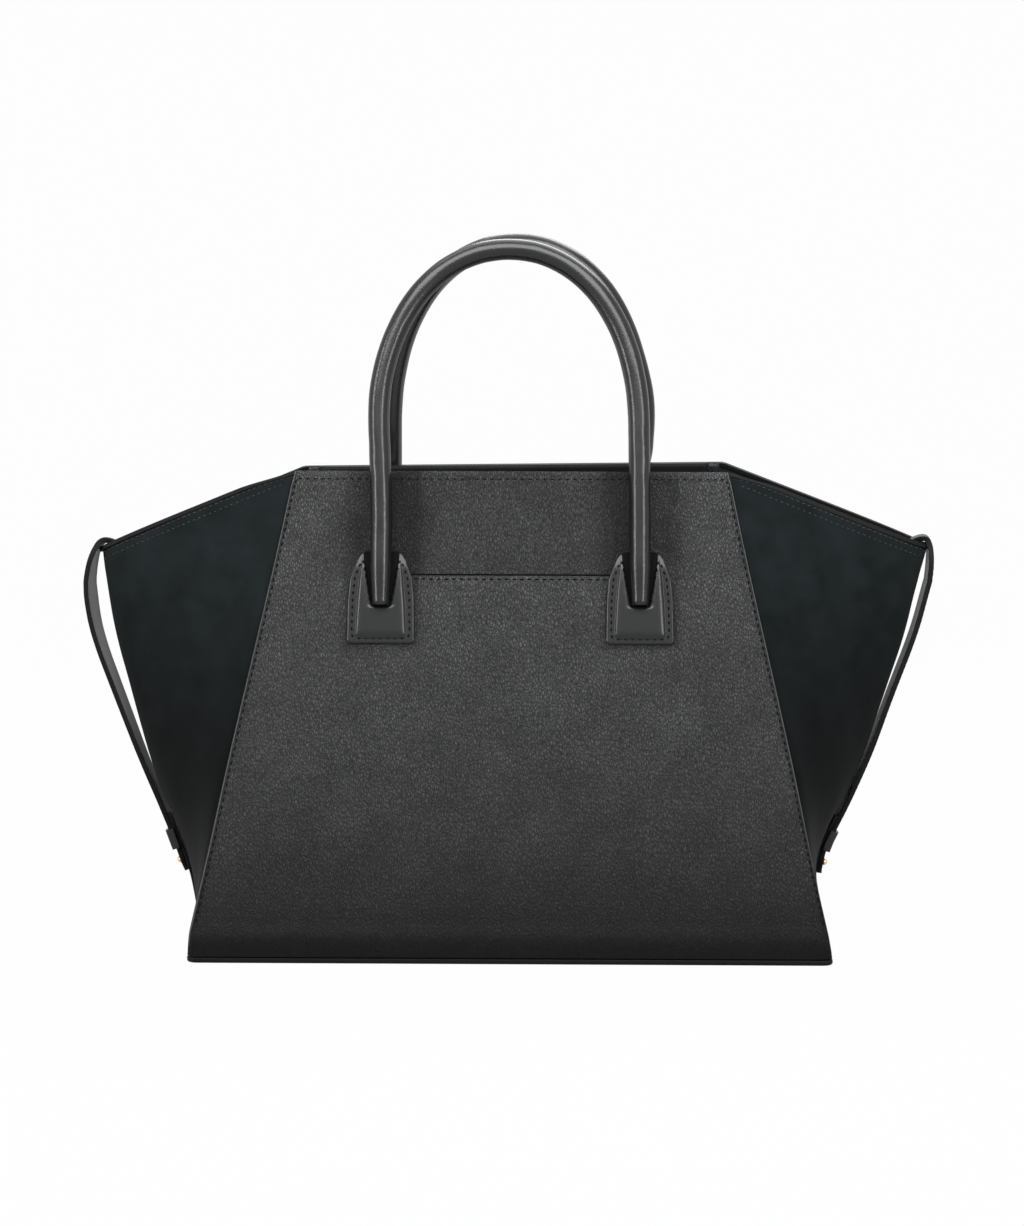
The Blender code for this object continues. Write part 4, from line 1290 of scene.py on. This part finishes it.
def band_mesh(line, side, thickness, point_length):
    """A strap's outer face along a line; one with a point is narrow at its other end too."""
    rows = len(line) - 1
    lengths = path_lengths(line)

    def place(across, along):
        index = min(int(round(along * rows)), rows)
        ahead = (line[min(index + 1, rows)] - line[max(index - 1, 0)]).normalized()
        outward = Vector((ahead.z, 0, -ahead.x))
        half = STRAP_WIDTH / 2
        walked = lengths[index]
        turn = Vector((0, 1, 0))
        if point_length:
            point_share = min(walked / point_length, 1)
            half *= mix(0.35, 1, math.sin(math.pi / 2 * point_share))
            half = mix(half, STRAP_TUCK_WIDTH / 2, ease(*TUCK_TAPER, walked - lengths[-1]))
            turn = strap_turn(line[index].z, side)
        point = line[index] + outward * (thickness - STRAP_CROWN * across * across)
        return half_turn(point + turn * across * half, side)

    return sheet(10, rows, place, (0, 0, 0.1))


def strap_tilt(height):
    """How far the strap leans outwards at a height, measured over a short reach."""
    rise = ridge_half_width(height + TILT_REACH) - ridge_half_width(height - TILT_REACH)
    return math.atan2(rise, 2 * TILT_REACH)


def strap_turn(z, side):
    """The direction across the strap where it is twisted."""
    share = min(z / WING_TIP_HEIGHT, 1.0)
    turn = math.radians(STRAP_TWIST[side]) * read_shares(STRAP_TWIST_SHARES, share)
    return Vector((math.sin(turn), math.cos(turn), 0))


def keeper_mesh(side):
    """A stiff leather loop round the strap."""
    x = strap_inner(KEEPER_HEIGHT, side)
    tilt = Matrix.Rotation(strap_tilt(KEEPER_HEIGHT), 4, "Y")
    frame_turn = Matrix.Translation((x, 0, KEEPER_HEIGHT)) @ tilt
    half_wide = STRAP_WIDTH / 2 + GAP + KEEPER_WALL
    deep = STRAP_THICKNESS + KEEPER_SLACK + KEEPER_WALL

    def place(across, along):
        angle = math.pi * across
        y = signed_power(math.sin(angle), KEEPER_SQUARENESS) * half_wide
        share = (signed_power(math.cos(angle), KEEPER_SQUARENESS) + 1) / 2
        out = mix(-KEEPER_BEHIND, deep, share)
        z = mix(-0.5, 0.5, along) * KEEPER_LENGTH
        return half_turn(frame_turn @ Vector((out, y, z)), side)

    middle = half_turn(frame_turn @ Vector((deep / 2, 0, 0)), side)
    bm = sheet(64, 6, place, middle)
    bmesh.ops.remove_doubles(bm, verts=bm.verts, dist=WELD)
    bmesh.ops.recalc_face_normals(bm, faces=bm.faces)
    return bm


STUD_PROFILE = ((0.0, 1.0), (0.45, 0.93), (0.8, 0.66), (0.95, 0.3), (0.7, 0.0), (0.0, 0.0))


def stud_mesh(side):
    bm = bmesh.new()
    points = [bm.verts.new((reach * STUD_RADIUS, 0, rise * STUD_RISE))
              for reach, rise in STUD_PROFILE]
    edges = [bm.edges.new(pair) for pair in zip(points, points[1:])]
    bmesh.ops.spin(bm, geom=points + edges, cent=(0, 0, 0), axis=(0, 0, 1),
                   angle=2 * math.pi, steps=24, use_merge=True)
    bmesh.ops.remove_doubles(bm, verts=bm.verts, dist=LOOSE_WELD)
    bmesh.ops.recalc_face_normals(bm, faces=bm.faces)
    tilt = strap_tilt(STUD_HEIGHT)
    x = strap_inner(STUD_HEIGHT, side) + STRAP_THICKNESS / math.cos(tilt)
    place = side_turn(-side) @ Matrix.Translation((x, 0, STUD_HEIGHT))
    place = place @ Matrix.Rotation(math.pi / 2 + tilt, 4, "Y")
    bmesh.ops.transform(bm, matrix=place, verts=bm.verts)
    return bm


class TOTE_OT_straps(bpy.types.Operator):
    """Side straps with their anchors, keepers and studs"""
    bl_idname = "tote.straps"
    bl_label = "Side straps"

    def execute(self, context):
        outer = [strap_leather(), flesh_side(), dull_shaded_leather()]
        for word, side in (("left", -1), ("right", 1)):
            bm = band_mesh(strap_line(side), side, STRAP_THICKNESS, STRAP_POINT)
            strap = piece(word + "_strap_leather", bm, outer, "bag", [word + "_strap"],
                          STRAP_THICKNESS, STRAP_EDGE, rim=2)
            strap.modifiers["wall"].material_offset = 1
            line = []
            for step in range(25):
                z = mix(ANCHOR_LOW, ANCHOR_HIGH, step / 24)
                line.append(Vector((ridge_half_width(z) + GAP, 0, z)))
            bm = band_mesh(line, side, ANCHOR_THICKNESS, 0)
            piece(word + "_anchor_leather", bm, outer, "bag", [word + "_strap_anchor"],
                  ANCHOR_THICKNESS, TRIM_EDGE, rim=2)
            piece(word + "_keeper_leather", keeper_mesh(side), [smooth_leather()], "bag",
                  [word + "_strap_keeper"], KEEPER_WALL, TRIM_EDGE)
            piece(word + "_stud_metal", stud_mesh(side), [gold_metal()], "bag",
                  [word + "_strap_stud"])
        return {"FINISHED"}


# Rim facings and the zip closure

CORD_INSET = 0.0004
TOOTH_EDGE = 0.0003
TOOTH_FOOT = 0.0008
FLAP_PUFF = 0.0006
WING_SAG = 0.0015
TAPE_EDGE = 0.0002


def flap_outer_edge():
    return half_depth(CLOSURE_HEIGHT + FLAP_THICKNESS) - FACING_INNER_OFFSET - GAP


def teeth_mesh(side):
    """Moulded teeth on a cord along one tape."""
    bm = bmesh.new()
    half = FLAP_HALF_LENGTH - SEAM_CLEARANCE
    tip = ZIP_CENTRE_GAP / 2
    middle = CLOSURE_HEIGHT - GAP - TAPE_THICKNESS / 2
    low, high = middle - TOOTH_THICKNESS / 2, middle + TOOTH_THICKNESS / 2
    bar(bm, (-half, -tip - TOOTH_ROW, low + CORD_INSET),
        (half, -tip - TOOTH_LENGTH, high - CORD_INSET), TOOTH_EDGE)
    count = int((2 * half - TOOTH_WIDTH) / TOOTH_PITCH)
    for index in range(count + 1):
        x = (index - count / 2) * TOOTH_PITCH
        bar(bm, (x - TOOTH_WIDTH / 2, -tip - TOOTH_LENGTH - TOOTH_FOOT, low),
            (x + TOOTH_WIDTH / 2, -tip, high), TOOTH_EDGE)
    bmesh.ops.transform(bm, matrix=side_turn(side), verts=bm.verts)
    return bm


def closure_half(word, side):
    body = word + "_closure"
    edge = flap_outer_edge()

    def flap(across, along):
        y = mix(-edge, -FLAP_INNER_EDGE, along)
        puff = FLAP_PUFF * math.sin(math.pi * min(along * 1.1, 1)) * (1 - abs(across) ** 6)
        puff *= 1 + 0.8 * soft_noise(across * 0.11, along * 0.02, 0.03, 6.0)
        point = Vector((across * FLAP_HALF_LENGTH, y, CLOSURE_HEIGHT + FLAP_THICKNESS + puff))
        return half_turn(point, -side)

    bm = sheet(80, 10, flap, (0, 0, 0))
    piece(word + "_flap_leather", bm, [smooth_leather(), cut_edge()], body,
          [word + "_closure_flap"], FLAP_THICKNESS, TRIM_EDGE, rim=1)
    bm = bmesh.new()
    inner = ZIP_CENTRE_GAP / 2 + TOOTH_ROW + GAP
    top = CLOSURE_HEIGHT - GAP
    bar(bm, (-FLAP_HALF_LENGTH, -FLAP_INNER_EDGE - TAPE_LAP, top - TAPE_THICKNESS),
        (FLAP_HALF_LENGTH, -inner, top), TAPE_EDGE)
    bmesh.ops.transform(bm, matrix=side_turn(side), verts=bm.verts)
    piece(word + "_tape_cloth", bm, [zip_tape()], body, [word + "_zip_tape"])
    piece(word + "_teeth_metal", teeth_mesh(side), [gold_metal()], body,
          [word + "_zip_teeth"])


def facing_mesh(side, outer):
    def place(across, along):
        z = mix(RIM_HEIGHT - FACING_HEIGHT, RIM_HEIGHT - GAP, along)
        return Vector((across * FACING_HALF_WIDTH, side * (half_depth(z) - outer), z))

    return sheet(60, 12, place, (0, 0, RIM_HEIGHT))


def wing_closure_room(x):
    z = wing_edge_height(x) - (RIM_HEIGHT - CLOSURE_HEIGHT)
    depth = half_depth(z) - LAP_OFFSET
    ridge = ridge_half_width(z)
    spread = math.atan2(depth, ridge - corner_half_width(z))
    wall = (SUEDE_THICKNESS + 3 * GAP) / math.cos(spread)
    return min((ridge - x) * math.tan(spread), depth) - wall


def wing_closure(word, side):
    """The leather over a wing, with two ears beside the sewn zip end."""
    slope = math.atan2(RIM_HEIGHT - WING_TIP_HEIGHT, WING_TIP_HALF_WIDTH - RIM_CORNER_HALF_WIDTH)

    def place(across, along):
        x = mix(WING_CLOSURE_START, WING_CLOSURE_END, along)
        sag = WING_SAG * math.sin(math.pi * along) * (1 - across * across)
        z = CLOSURE_HEIGHT - (x - WING_CLOSURE_START) * math.tan(slope)
        z += WING_CLOSURE_THICKNESS / 2 - sag
        return half_turn(Vector((x, across * wing_closure_room(x), z)), side)

    bm = sheet(20, 40, place, (0, 0, 0))
    top = CLOSURE_HEIGHT + WING_CLOSURE_THICKNESS / 2
    for hand in (-1, 1):
        half_x = (EAR_END - EAR_START) / 2
        half_y = (flap_outer_edge() - GAP - EAR_INNER) / 2
        middle = Vector((EAR_START + half_x, hand * (EAR_INNER + half_y), top))
        place = Matrix.Translation(half_turn(middle, side))
        place = place @ Matrix.Diagonal((half_x, half_y, 1, 1))
        bmesh.ops.create_grid(bm, x_segments=1, y_segments=1, size=1, matrix=place)
    piece(word + "_wing_closure_leather", bm, [smooth_leather(), cut_edge()], "bag",
          [word + "_wing_closure"], WING_CLOSURE_THICKNESS, TRIM_EDGE, rim=1)


class TOTE_OT_closure(bpy.types.Operator):
    """Rim facings, closure flaps, zip and the closures over the wings"""
    bl_idname = "tote.closure"
    bl_label = "Zip closure"

    def execute(self, context):
        yoke_back = LAP_OFFSET + YOKE_THICKNESS / LEAN_COS + 2 * GAP
        for word, side, outer in (("front", -1, yoke_back), ("back", 1, LAP_OFFSET)):
            wall = (FACING_INNER_OFFSET - outer) * LEAN_COS
            # The facings inside the rim take the darkened leather as painted shade
            piece(word + "_facing_leather", facing_mesh(side, outer),
                  [dull_shaded_leather()], "bag", [word + "_facing"], wall)
            closure_half(word, side)
        for word, side in (("left", -1), ("right", 1)):
            wing_closure(word, side)
            refinish(word + "_zip_end", zip_tape())
        for name in ("zip_slider", "zip_pull"):
            refinish(name, gold_metal())
        return {"FINISHED"}


# Lining

LINING_SLACK = 0.0012
POCKET_OUT = 0.0022
POCKET_CORNER = 0.006
POCKET_GAPE = 0.0018


def lining_mesh():
    """One loop of cloth round the inside with its bottom filled in."""
    inset = SUEDE_THICKNESS + LINING_EASE
    rim = RIM_HEIGHT - FACING_HEIGHT - LINING_CLEARANCE
    floor = FLOOR_HEIGHT + BOARD_THICKNESS + 2 * GAP

    def side_point(across, along):
        top = min(gusset_top(across, inset, LINING_DROP), rim)
        z = mix(floor, top, along)
        return gusset_point(across, z, inset)

    def place(across, along):
        share = (across + 1) / 2 * 4
        part = min(int(share), 3)
        within = share - part
        if part in (0, 2):
            point = side_point(mix(-1, 1, within), along)
        else:
            corner = side_point(1, along)
            point = Vector((mix(corner.x, -corner.x, within), corner.y, corner.z))
            free = math.sin(math.pi * along) * min(4 * within * (1 - within), 1)
            point.y -= LINING_SLACK * free * (1 + soft_noise(point.x, point.z, 0.04, 8.0))
        return half_turn(point, -1) if part > 1 else point

    bm = sheet(160, 40, place, (0, 0, RIM_HEIGHT / 2))
    bmesh.ops.remove_doubles(bm, verts=bm.verts, dist=LOOSE_WELD)
    low = [edge for edge in bm.edges
           if edge.is_boundary and max(v.co.z for v in edge.verts) < floor + GAP]
    bmesh.ops.holes_fill(bm, edges=low, sides=0)
    bmesh.ops.recalc_face_normals(bm, faces=bm.faces)
    return bm


class TOTE_OT_lining(bpy.types.Operator):
    """Cloth lining bag with its slip pocket"""
    bl_idname = "tote.lining"
    bl_label = "Lining"

    def execute(self, context):
        piece("lining_cloth_bag", lining_mesh(), [lining_cloth()], "bag", ["lining"],
              LINING_THICKNESS)
        low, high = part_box("inner_pocket")
        depth = LAP_OFFSET + SUEDE_THICKNESS + LINING_EASE + LINING_THICKNESS + POCKET_OUT

        def place(across, along):
            z = mix(low.z, high.z, along)
            sunk = ease(0.0, 1.0, 1 - (z - low.z) / POCKET_CORNER)
            corner = POCKET_CORNER * (1 - math.sqrt(max(1 - sunk, 0)))
            gape = POCKET_GAPE * ease(0.6, 1.0, along) * (1 - across * across)
            return Vector((across * (high.x - corner), half_depth(z) - depth - gape, z))

        bm = sheet(40, 30, place, (0, 1, 0.15))
        piece("inner_pocket_cloth", bm, [lining_cloth()], "bag", ["inner_pocket"],
              LINING_THICKNESS)
        return {"FINISHED"}


# Stitching

# Pitch, length and thread radius of the rows that have their own
TAB_ROW = (0.0040, 0.0023, 0.0006)
VEE_ROW = (0.0038, 0.0024, 0.0005)
ROOT_ROW = (0.0026, 0.0018, 0.0004)
STRAP_ROW = (0.0034, 0.0024, 0.0003)
# Drop under the wing's edge, lift off the suede and stitch length of a wing's two rows
WING_ROWS = ((0.0033, 0.0003, 0.0022), (0.0074, 0.0002, 0.0020))
WING_PITCH = 0.0034
WING_THREAD = 0.00024
WING_ROW_ENDS = (0.04, 0.97)
NOTCH_ROW_END = 0.0725
RIM_ROW_START = 0.0755
SEAM_LOW = 0.019
STITCH_LIFT = 0.0002
FLAP_ROW_END = 0.003
FLAP_INNER_ROW = 0.0022
FLAP_OUTER_ROW = 0.0030
FOLD_INSET = 0.0006
FOLD_LOW = 0.006
FOLD_HIGH = 0.0004
FOLD_SINK = -0.0003
FOLD_RADIUS = 0.00042
NOTCH_GAP_RISE = 0.0004
NOTCH_GAP_INSET = 0.0006
NOTCH_GAP_RADIUS = 0.0005


def stitch_row(bm, points, outward, row=None):
    """Adds thread stitches laid end to end along a line of points."""
    sizes = read_sizes()
    pitch, length, radius = row or (sizes.stitch_pitch, sizes.stitch_length, sizes.thread_radius)
    lengths = path_lengths(points)
    count = max(int(lengths[-1] / pitch), 1)
    index = 0
    for number in range(count):
        walked = (number + 0.5) * lengths[-1] / count
        while lengths[index + 1] < walked:
            index += 1
        share = (walked - lengths[index]) / (lengths[index + 1] - lengths[index])
        along = (points[index + 1] - points[index]).normalized()
        across = outward.cross(along).normalized()
        up = along.cross(across).normalized()
        place = Matrix((along, across, up)).transposed().to_4x4()
        place.translation = points[index].lerp(points[index + 1], share) + up * radius * 0.2
        size = Matrix.Diagonal((length / 2, radius, radius * 0.45, 1))
        bmesh.ops.create_icosphere(bm, subdivisions=1, radius=1, matrix=place @ size)


def bead(bm, points, outward, radius):
    """Adds a thin half-sunk cord along a line of points."""
    rows = len(points) - 1
    cord = bmesh.ops.create_grid(bm, x_segments=6, y_segments=rows, size=1)["verts"]
    for vert in cord:
        index = round((vert.co.y + 1) / 2 * rows)
        along = points[min(index + 1, rows)] - points[max(index - 1, 0)]
        across = outward.cross(along.normalized()).normalized()
        angle = math.pi * vert.co.x
        vert.co = points[index] + radius * (math.cos(angle) * across + math.sin(angle) * outward)
    bmesh.ops.remove_doubles(bm, verts=cord, dist=WELD)
    ends = [edge for edge in bm.edges if edge.is_boundary]
    bmesh.ops.holes_fill(bm, edges=ends, sides=0)
    bmesh.ops.recalc_face_normals(bm, faces=bm.faces)


def panel_line(side, start, end, z):
    """Points on a panel's face from one x to another at one height."""
    return run(60, lambda share: panel_surface(mix(start, end, share), z, side))


def panel_stitches(side, notch):
    bm = bmesh.new()
    outward = Vector((0, side * LEAN_COS, math.sin(LEAN)))
    low, high = FLOOR_HEIGHT + SEAM_LOW, RIM_HEIGHT - RIM_STITCH_DROP
    reach = panel_half_width(high) - SIDE_STITCH_INSET
    for sign in (-1, 1):
        def beside(share):
            z = mix(low, high, share)
            return panel_surface(sign * (panel_half_width(z) - SIDE_STITCH_INSET), z, side)

        stitch_row(bm, run(80, beside), outward)
        if notch:
            stitch_row(bm, panel_line(side, sign * reach, sign * RIM_ROW_START, high), outward)
    if notch:
        row = run(60, lambda share: yoke_surface(mix(-NOTCH_ROW_END, NOTCH_ROW_END, share), high))
        stitch_row(bm, row, outward)
        below = NOTCH_HEIGHT - NOTCH_STITCH_DROP
        stitch_row(bm, panel_line(side, -NOTCH_ROW_END, NOTCH_ROW_END, below), outward)
    else:
        stitch_row(bm, panel_line(side, -reach, reach, high), outward)
    return bm


def wing_stitches(side):
    """Two rows under each half of a wing's bound edge."""
    bm = bmesh.new()
    ahead = gusset_point(0.6, 0.25) - gusset_point(0.5, 0.25)
    for sign in (-1, 1):
        outward = half_turn(Vector((ahead.y, -ahead.x * sign, 0)).normalized(), side)
        for drop, lift, length in WING_ROWS:
            def on_wall(share):
                across = sign * mix(*WING_ROW_ENDS, share)
                return suede_surface(across, gusset_top(across, 0.0, drop), side, lift)

            stitch_row(bm, run(60, on_wall), outward, (WING_PITCH, length, WING_THREAD))
    return bm


def tab_stitches(side, x):
    """The row round the tab's edge, the vee beside the tube and the row that closes it."""
    bm = bmesh.new()
    frame_here = panel_frame(side, x, GAP)
    outward = (frame_here.to_3x3() @ Vector((0, 0, 1))).normalized()

    def on_tab(local, z):
        return frame_here @ Vector((local, z / LEAN_COS, tab_height(local, z)))

    low = TAB_LOW + TAB_STITCH_INSET
    turn_z = low + TAB_STITCH_TURN
    turn_x = tab_width(turn_z) - TAB_STITCH_INSET - TAB_STITCH_TURN

    def upright(share):
        z = mix(TAB_HIGH - TAB_STITCH_DROP, turn_z, share)
        return (tab_width(z) - TAB_STITCH_INSET, z)

    def corner(share):
        angle = math.pi / 2 * share
        return (turn_x + TAB_STITCH_TURN * math.cos(angle),
                turn_z - TAB_STITCH_TURN * math.sin(angle))

    edge = run(39, upright) + run(10, corner)[1:-1] + [(0.0, low)]
    full = edge + [(-local, z) for local, z in reversed(edge[:-1])]
    stitch_row(bm, [on_tab(*place) for place in full], outward, TAB_ROW)
    for sign in (-1, 1):
        def vee(share):
            z = mix(*VEE_ROW_ENDS, share)
            return on_tab(sign * (vee_width(z) + VEE_ROW_OUT), z)

        stitch_row(bm, run(20, vee), outward, VEE_ROW)
    row = run(10, lambda share: on_tab(mix(-VEE_LOW_WIDTH, VEE_LOW_WIDTH, share), VEE_LOW))
    stitch_row(bm, row, outward, ROOT_ROW)
    return bm


def strap_stitches(side):
    """A row of stitches along each edge of a strap's outer face."""
    bm = bmesh.new()
    line = strap_line(side)
    for edge in (-1, 1):
        points = []
        for index in range(6, len(line) - 30):
            ahead = (line[index + 1] - line[index - 1]).normalized()
            out = Vector((ahead.z, 0, -ahead.x))
            reach = strap_turn(line[index].z, side) * edge * STRAP_STITCH_REACH
            point = line[index] + out * (STRAP_THICKNESS - STITCH_LIFT) + reach
            points.append(half_turn(point, side))
        stitch_row(bm, points, half_turn(Vector((1, 0, 0)), side), STRAP_ROW)
    return bm


def flap_stitches(side):
    bm = bmesh.new()
    z = CLOSURE_HEIGHT + FLAP_THICKNESS + STITCH_LIFT
    for y in (-FLAP_INNER_EDGE - FLAP_INNER_ROW, -flap_outer_edge() + FLAP_OUTER_ROW):
        def on_flap(share):
            x = mix(-1, 1, share) * (FLAP_HALF_LENGTH - FLAP_ROW_END)
            return half_turn(Vector((x, y, z)), -side)

        stitch_row(bm, run(40, on_flap), Vector((0, 0, 1)))
    return bm


def edge_beads(side):
    """The thin fold along a panel's slanting edges."""
    bm = bmesh.new()
    outward = Vector((0, side * LEAN_COS, math.sin(LEAN)))
    for sign in (-1, 1):
        def on_edge(share):
            z = mix(FLOOR_HEIGHT + FOLD_LOW, RIM_HEIGHT - FOLD_HIGH, share)
            return panel_surface(sign * (panel_half_width(z) - FOLD_INSET), z, side, FOLD_SINK)

        bead(bm, run(80, on_edge), outward, FOLD_RADIUS)
    return bm


def notch_shadow():
    """A dark cord as painted shadow in the gap where the yoke goes behind the notch's edge."""
    bm = bmesh.new()
    outward = Vector((0, -LEAN_COS, math.sin(LEAN)))
    z = NOTCH_HEIGHT + NOTCH_GAP_RISE
    reach = NOTCH_HALF_WIDTH - NOTCH_GAP_INSET

    def on_yoke(share):
        return yoke_surface(mix(-reach, reach, share), z, STITCH_LIFT)

    bead(bm, run(60, on_yoke), outward, NOTCH_GAP_RADIUS)
    return bm


class TOTE_OT_stitching(bpy.types.Operator):
    """Sewing thread along the seams, tabs, wing edges and closure flaps"""
    bl_idname = "tote.stitching"
    bl_label = "Stitching"

    def execute(self, context):
        dark = [thread()]
        piece("front_edge_fold", edge_beads(-1), [fold_leather()], "bag")
        piece("back_edge_fold", edge_beads(1), [fold_leather()], "bag")
        # A dark cord of the thread finish as painted shadow along the notch's edge
        piece("front_notch_painted_shadow", notch_shadow(), dark, "bag")
        piece("front_panel_stitches", panel_stitches(-1, True), dark, "bag")
        piece("back_panel_stitches", panel_stitches(1, False), dark, "bag")
        for word, side in (("left", -1), ("right", 1)):
            piece(word + "_wing_stitches", wing_stitches(side), [edge_thread()], "bag")
            piece(word + "_strap_stitches", strap_stitches(side), dark, "bag")
        for word, side in (("front", -1), ("back", 1)):
            piece(word + "_flap_stitches", flap_stitches(side), dark, word + "_closure")
            for hand, sign in (("left", -1), ("right", 1)):
                bm = tab_stitches(side, sign * HANDLE_SPACING)
                piece(word + "_tab_stitches_" + hand, bm, dark, "bag")
        return {"FINISHED"}


# Stage

GLOW_SHARE = 0.985
WORLD_LIGHT = 0.12
SHEET_HALF_SIZE = 6.0
BACKDROP_DISTANCE = 3.0


def seen_rays(tree):
    """1 for the rays that see the background directly, by reflection or through glass."""
    path = tree.nodes.new("ShaderNodeLightPath").outputs
    either = calculate(tree, "MAXIMUM", path["Is Camera Ray"], path["Is Glossy Ray"])
    return calculate(tree, "MAXIMUM", either, path["Is Transmission Ray"])


def pale_material(name):
    colour = tuple(read_colours().floor)
    material, tree, shader = new_material(name, colour, 0.9)
    if tree is None:
        return material
    glow = tree.nodes.new("ShaderNodeEmission")
    glow.inputs["Color"].default_value = (1, 1, 1, 1)
    glow.inputs["Strength"].default_value = 1.0
    share = calculate(tree, "MULTIPLY", seen_rays(tree), GLOW_SHARE)
    blend = mix_shaders(tree, share, shader.outputs["BSDF"], glow.outputs["Emission"])
    tree.links.new(blend, tree.nodes["Material Output"].inputs["Surface"])
    return material


def stage_sheet(name, place):
    bm = bmesh.new()
    bmesh.ops.create_grid(bm, x_segments=1, y_segments=1, size=SHEET_HALF_SIZE)
    bmesh.ops.transform(bm, matrix=place, verts=bm.verts)
    new_object(name, bm, [pale_material("pale_" + name)])


def soft_lamp(name, place, aim, size, power):
    lamp = bpy.data.lights.new(name, "AREA")
    lamp.shape = "RECTANGLE"
    lamp.size, lamp.size_y = size
    lamp.energy = power
    obj = bpy.data.objects.new(name, lamp)
    obj.location = place
    direction = Vector(aim) - Vector(place)
    obj.rotation_euler = direction.to_track_quat("-Z", "Y").to_euler()
    bpy.context.scene.collection.objects.link(obj)


def white_world():
    world = bpy.data.worlds.new("studio")
    bpy.context.scene.world = world
    world.use_nodes = True
    tree = world.node_tree
    background = tree.nodes["Background"]
    background.inputs["Color"].default_value = (1, 1, 1, 1)
    background.inputs["Strength"].default_value = WORLD_LIGHT
    seen = tree.nodes.new("ShaderNodeBackground")
    seen.inputs["Color"].default_value = (1, 1, 1, 1)
    seen.inputs["Strength"].default_value = 1.0
    blend = mix_shaders(tree, seen_rays(tree), background.outputs["Background"],
                        seen.outputs["Background"])
    tree.links.new(blend, tree.nodes["World Output"].inputs["Surface"])


class TOTE_OT_stage(bpy.types.Operator):
    """Pale floor and backdrop, soft lamps and the camera"""
    bl_idname = "tote.stage"
    bl_label = "Stage"

    def execute(self, context):
        scene = context.scene
        scene.view_settings.view_transform = "Standard"
        stage_sheet("floor", Matrix.Identity(4))
        upright = Matrix.Rotation(math.pi / 2, 4, "X")
        stage_sheet("backdrop", Matrix.Translation((0, BACKDROP_DISTANCE, 0)) @ upright)
        soft_lamp("left_softbox", (-1.3, -0.75, 0.62), (0, 0, 0.30), (0.20, 1.1), 13)
        soft_lamp("right_softbox", (1.05, -1.15, 0.62), (0, 0, 0.30), (0.20, 1.1), 13)
        soft_lamp("key", (0, -0.60, 0.86), (0, -0.03, 0.25), (1.0, 0.50), 14)
        soft_lamp("back_key", (0.25, 0.80, 1.25), (0, 0.03, 0.18), (1.1, 0.7), 13)
        soft_lamp("overhead", (0, 0.10, 1.2), (0, 0, 0.2), (1.2, 0.5), 4.5)
        camera = bpy.data.cameras.new("camera")
        camera.sensor_fit = "VERTICAL"
        camera.sensor_height = CAMERA_SENSOR_MM
        camera.lens = CAMERA_LENS_MM
        eye = bpy.data.objects.new("camera", camera)
        eye.location = CAMERA_PLACE
        eye.rotation_euler = (
            math.radians(90 - CAMERA_DOWN_DEGREES), 0, math.radians(CAMERA_TURN_DEGREES))
        scene.collection.objects.link(eye)
        scene.camera = eye
        white_world()
        return {"FINISHED"}


STEPS = (
    TOTE_OT_panels, TOTE_OT_side_walls, TOTE_OT_base, TOTE_OT_handles, TOTE_OT_tabs,
    TOTE_OT_straps, TOTE_OT_closure, TOTE_OT_lining, TOTE_OT_stitching, TOTE_OT_stage,
)


class TOTE_PT_panel(bpy.types.Panel):
    """Sizes, colours and making steps of the tote bag"""
    bl_idname = "TOTE_PT_panel"
    bl_label = "Tote bag"
    bl_space_type = "VIEW_3D"
    bl_region_type = "UI"
    bl_category = "Tote bag"

    def draw(self, context):
        layout = self.layout
        for group in (context.scene.tote_sizes, context.scene.tote_colours):
            for key in group.__annotations__:
                layout.prop(group, key)
        for step in STEPS:
            layout.operator(step.bl_idname)


CLASSES = (ToteSizes, ToteColours, *STEPS, TOTE_PT_panel)


def register():
    for each in CLASSES:
        bpy.utils.register_class(each)
    bpy.types.Scene.tote_sizes = PointerProperty(type=ToteSizes)
    bpy.types.Scene.tote_colours = PointerProperty(type=ToteColours)


def unregister():
    del bpy.types.Scene.tote_colours
    del bpy.types.Scene.tote_sizes
    for each in reversed(CLASSES):
        bpy.utils.unregister_class(each)


def main():
    register()
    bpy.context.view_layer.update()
    bpy.ops.tote.panels()
    bpy.ops.tote.side_walls()
    bpy.ops.tote.base()
    bpy.ops.tote.handles()
    bpy.ops.tote.tabs()
    bpy.ops.tote.straps()
    bpy.ops.tote.closure()
    bpy.ops.tote.lining()
    bpy.ops.tote.stitching()
    bpy.ops.tote.stage()


if __name__ == "__main__":
    main()
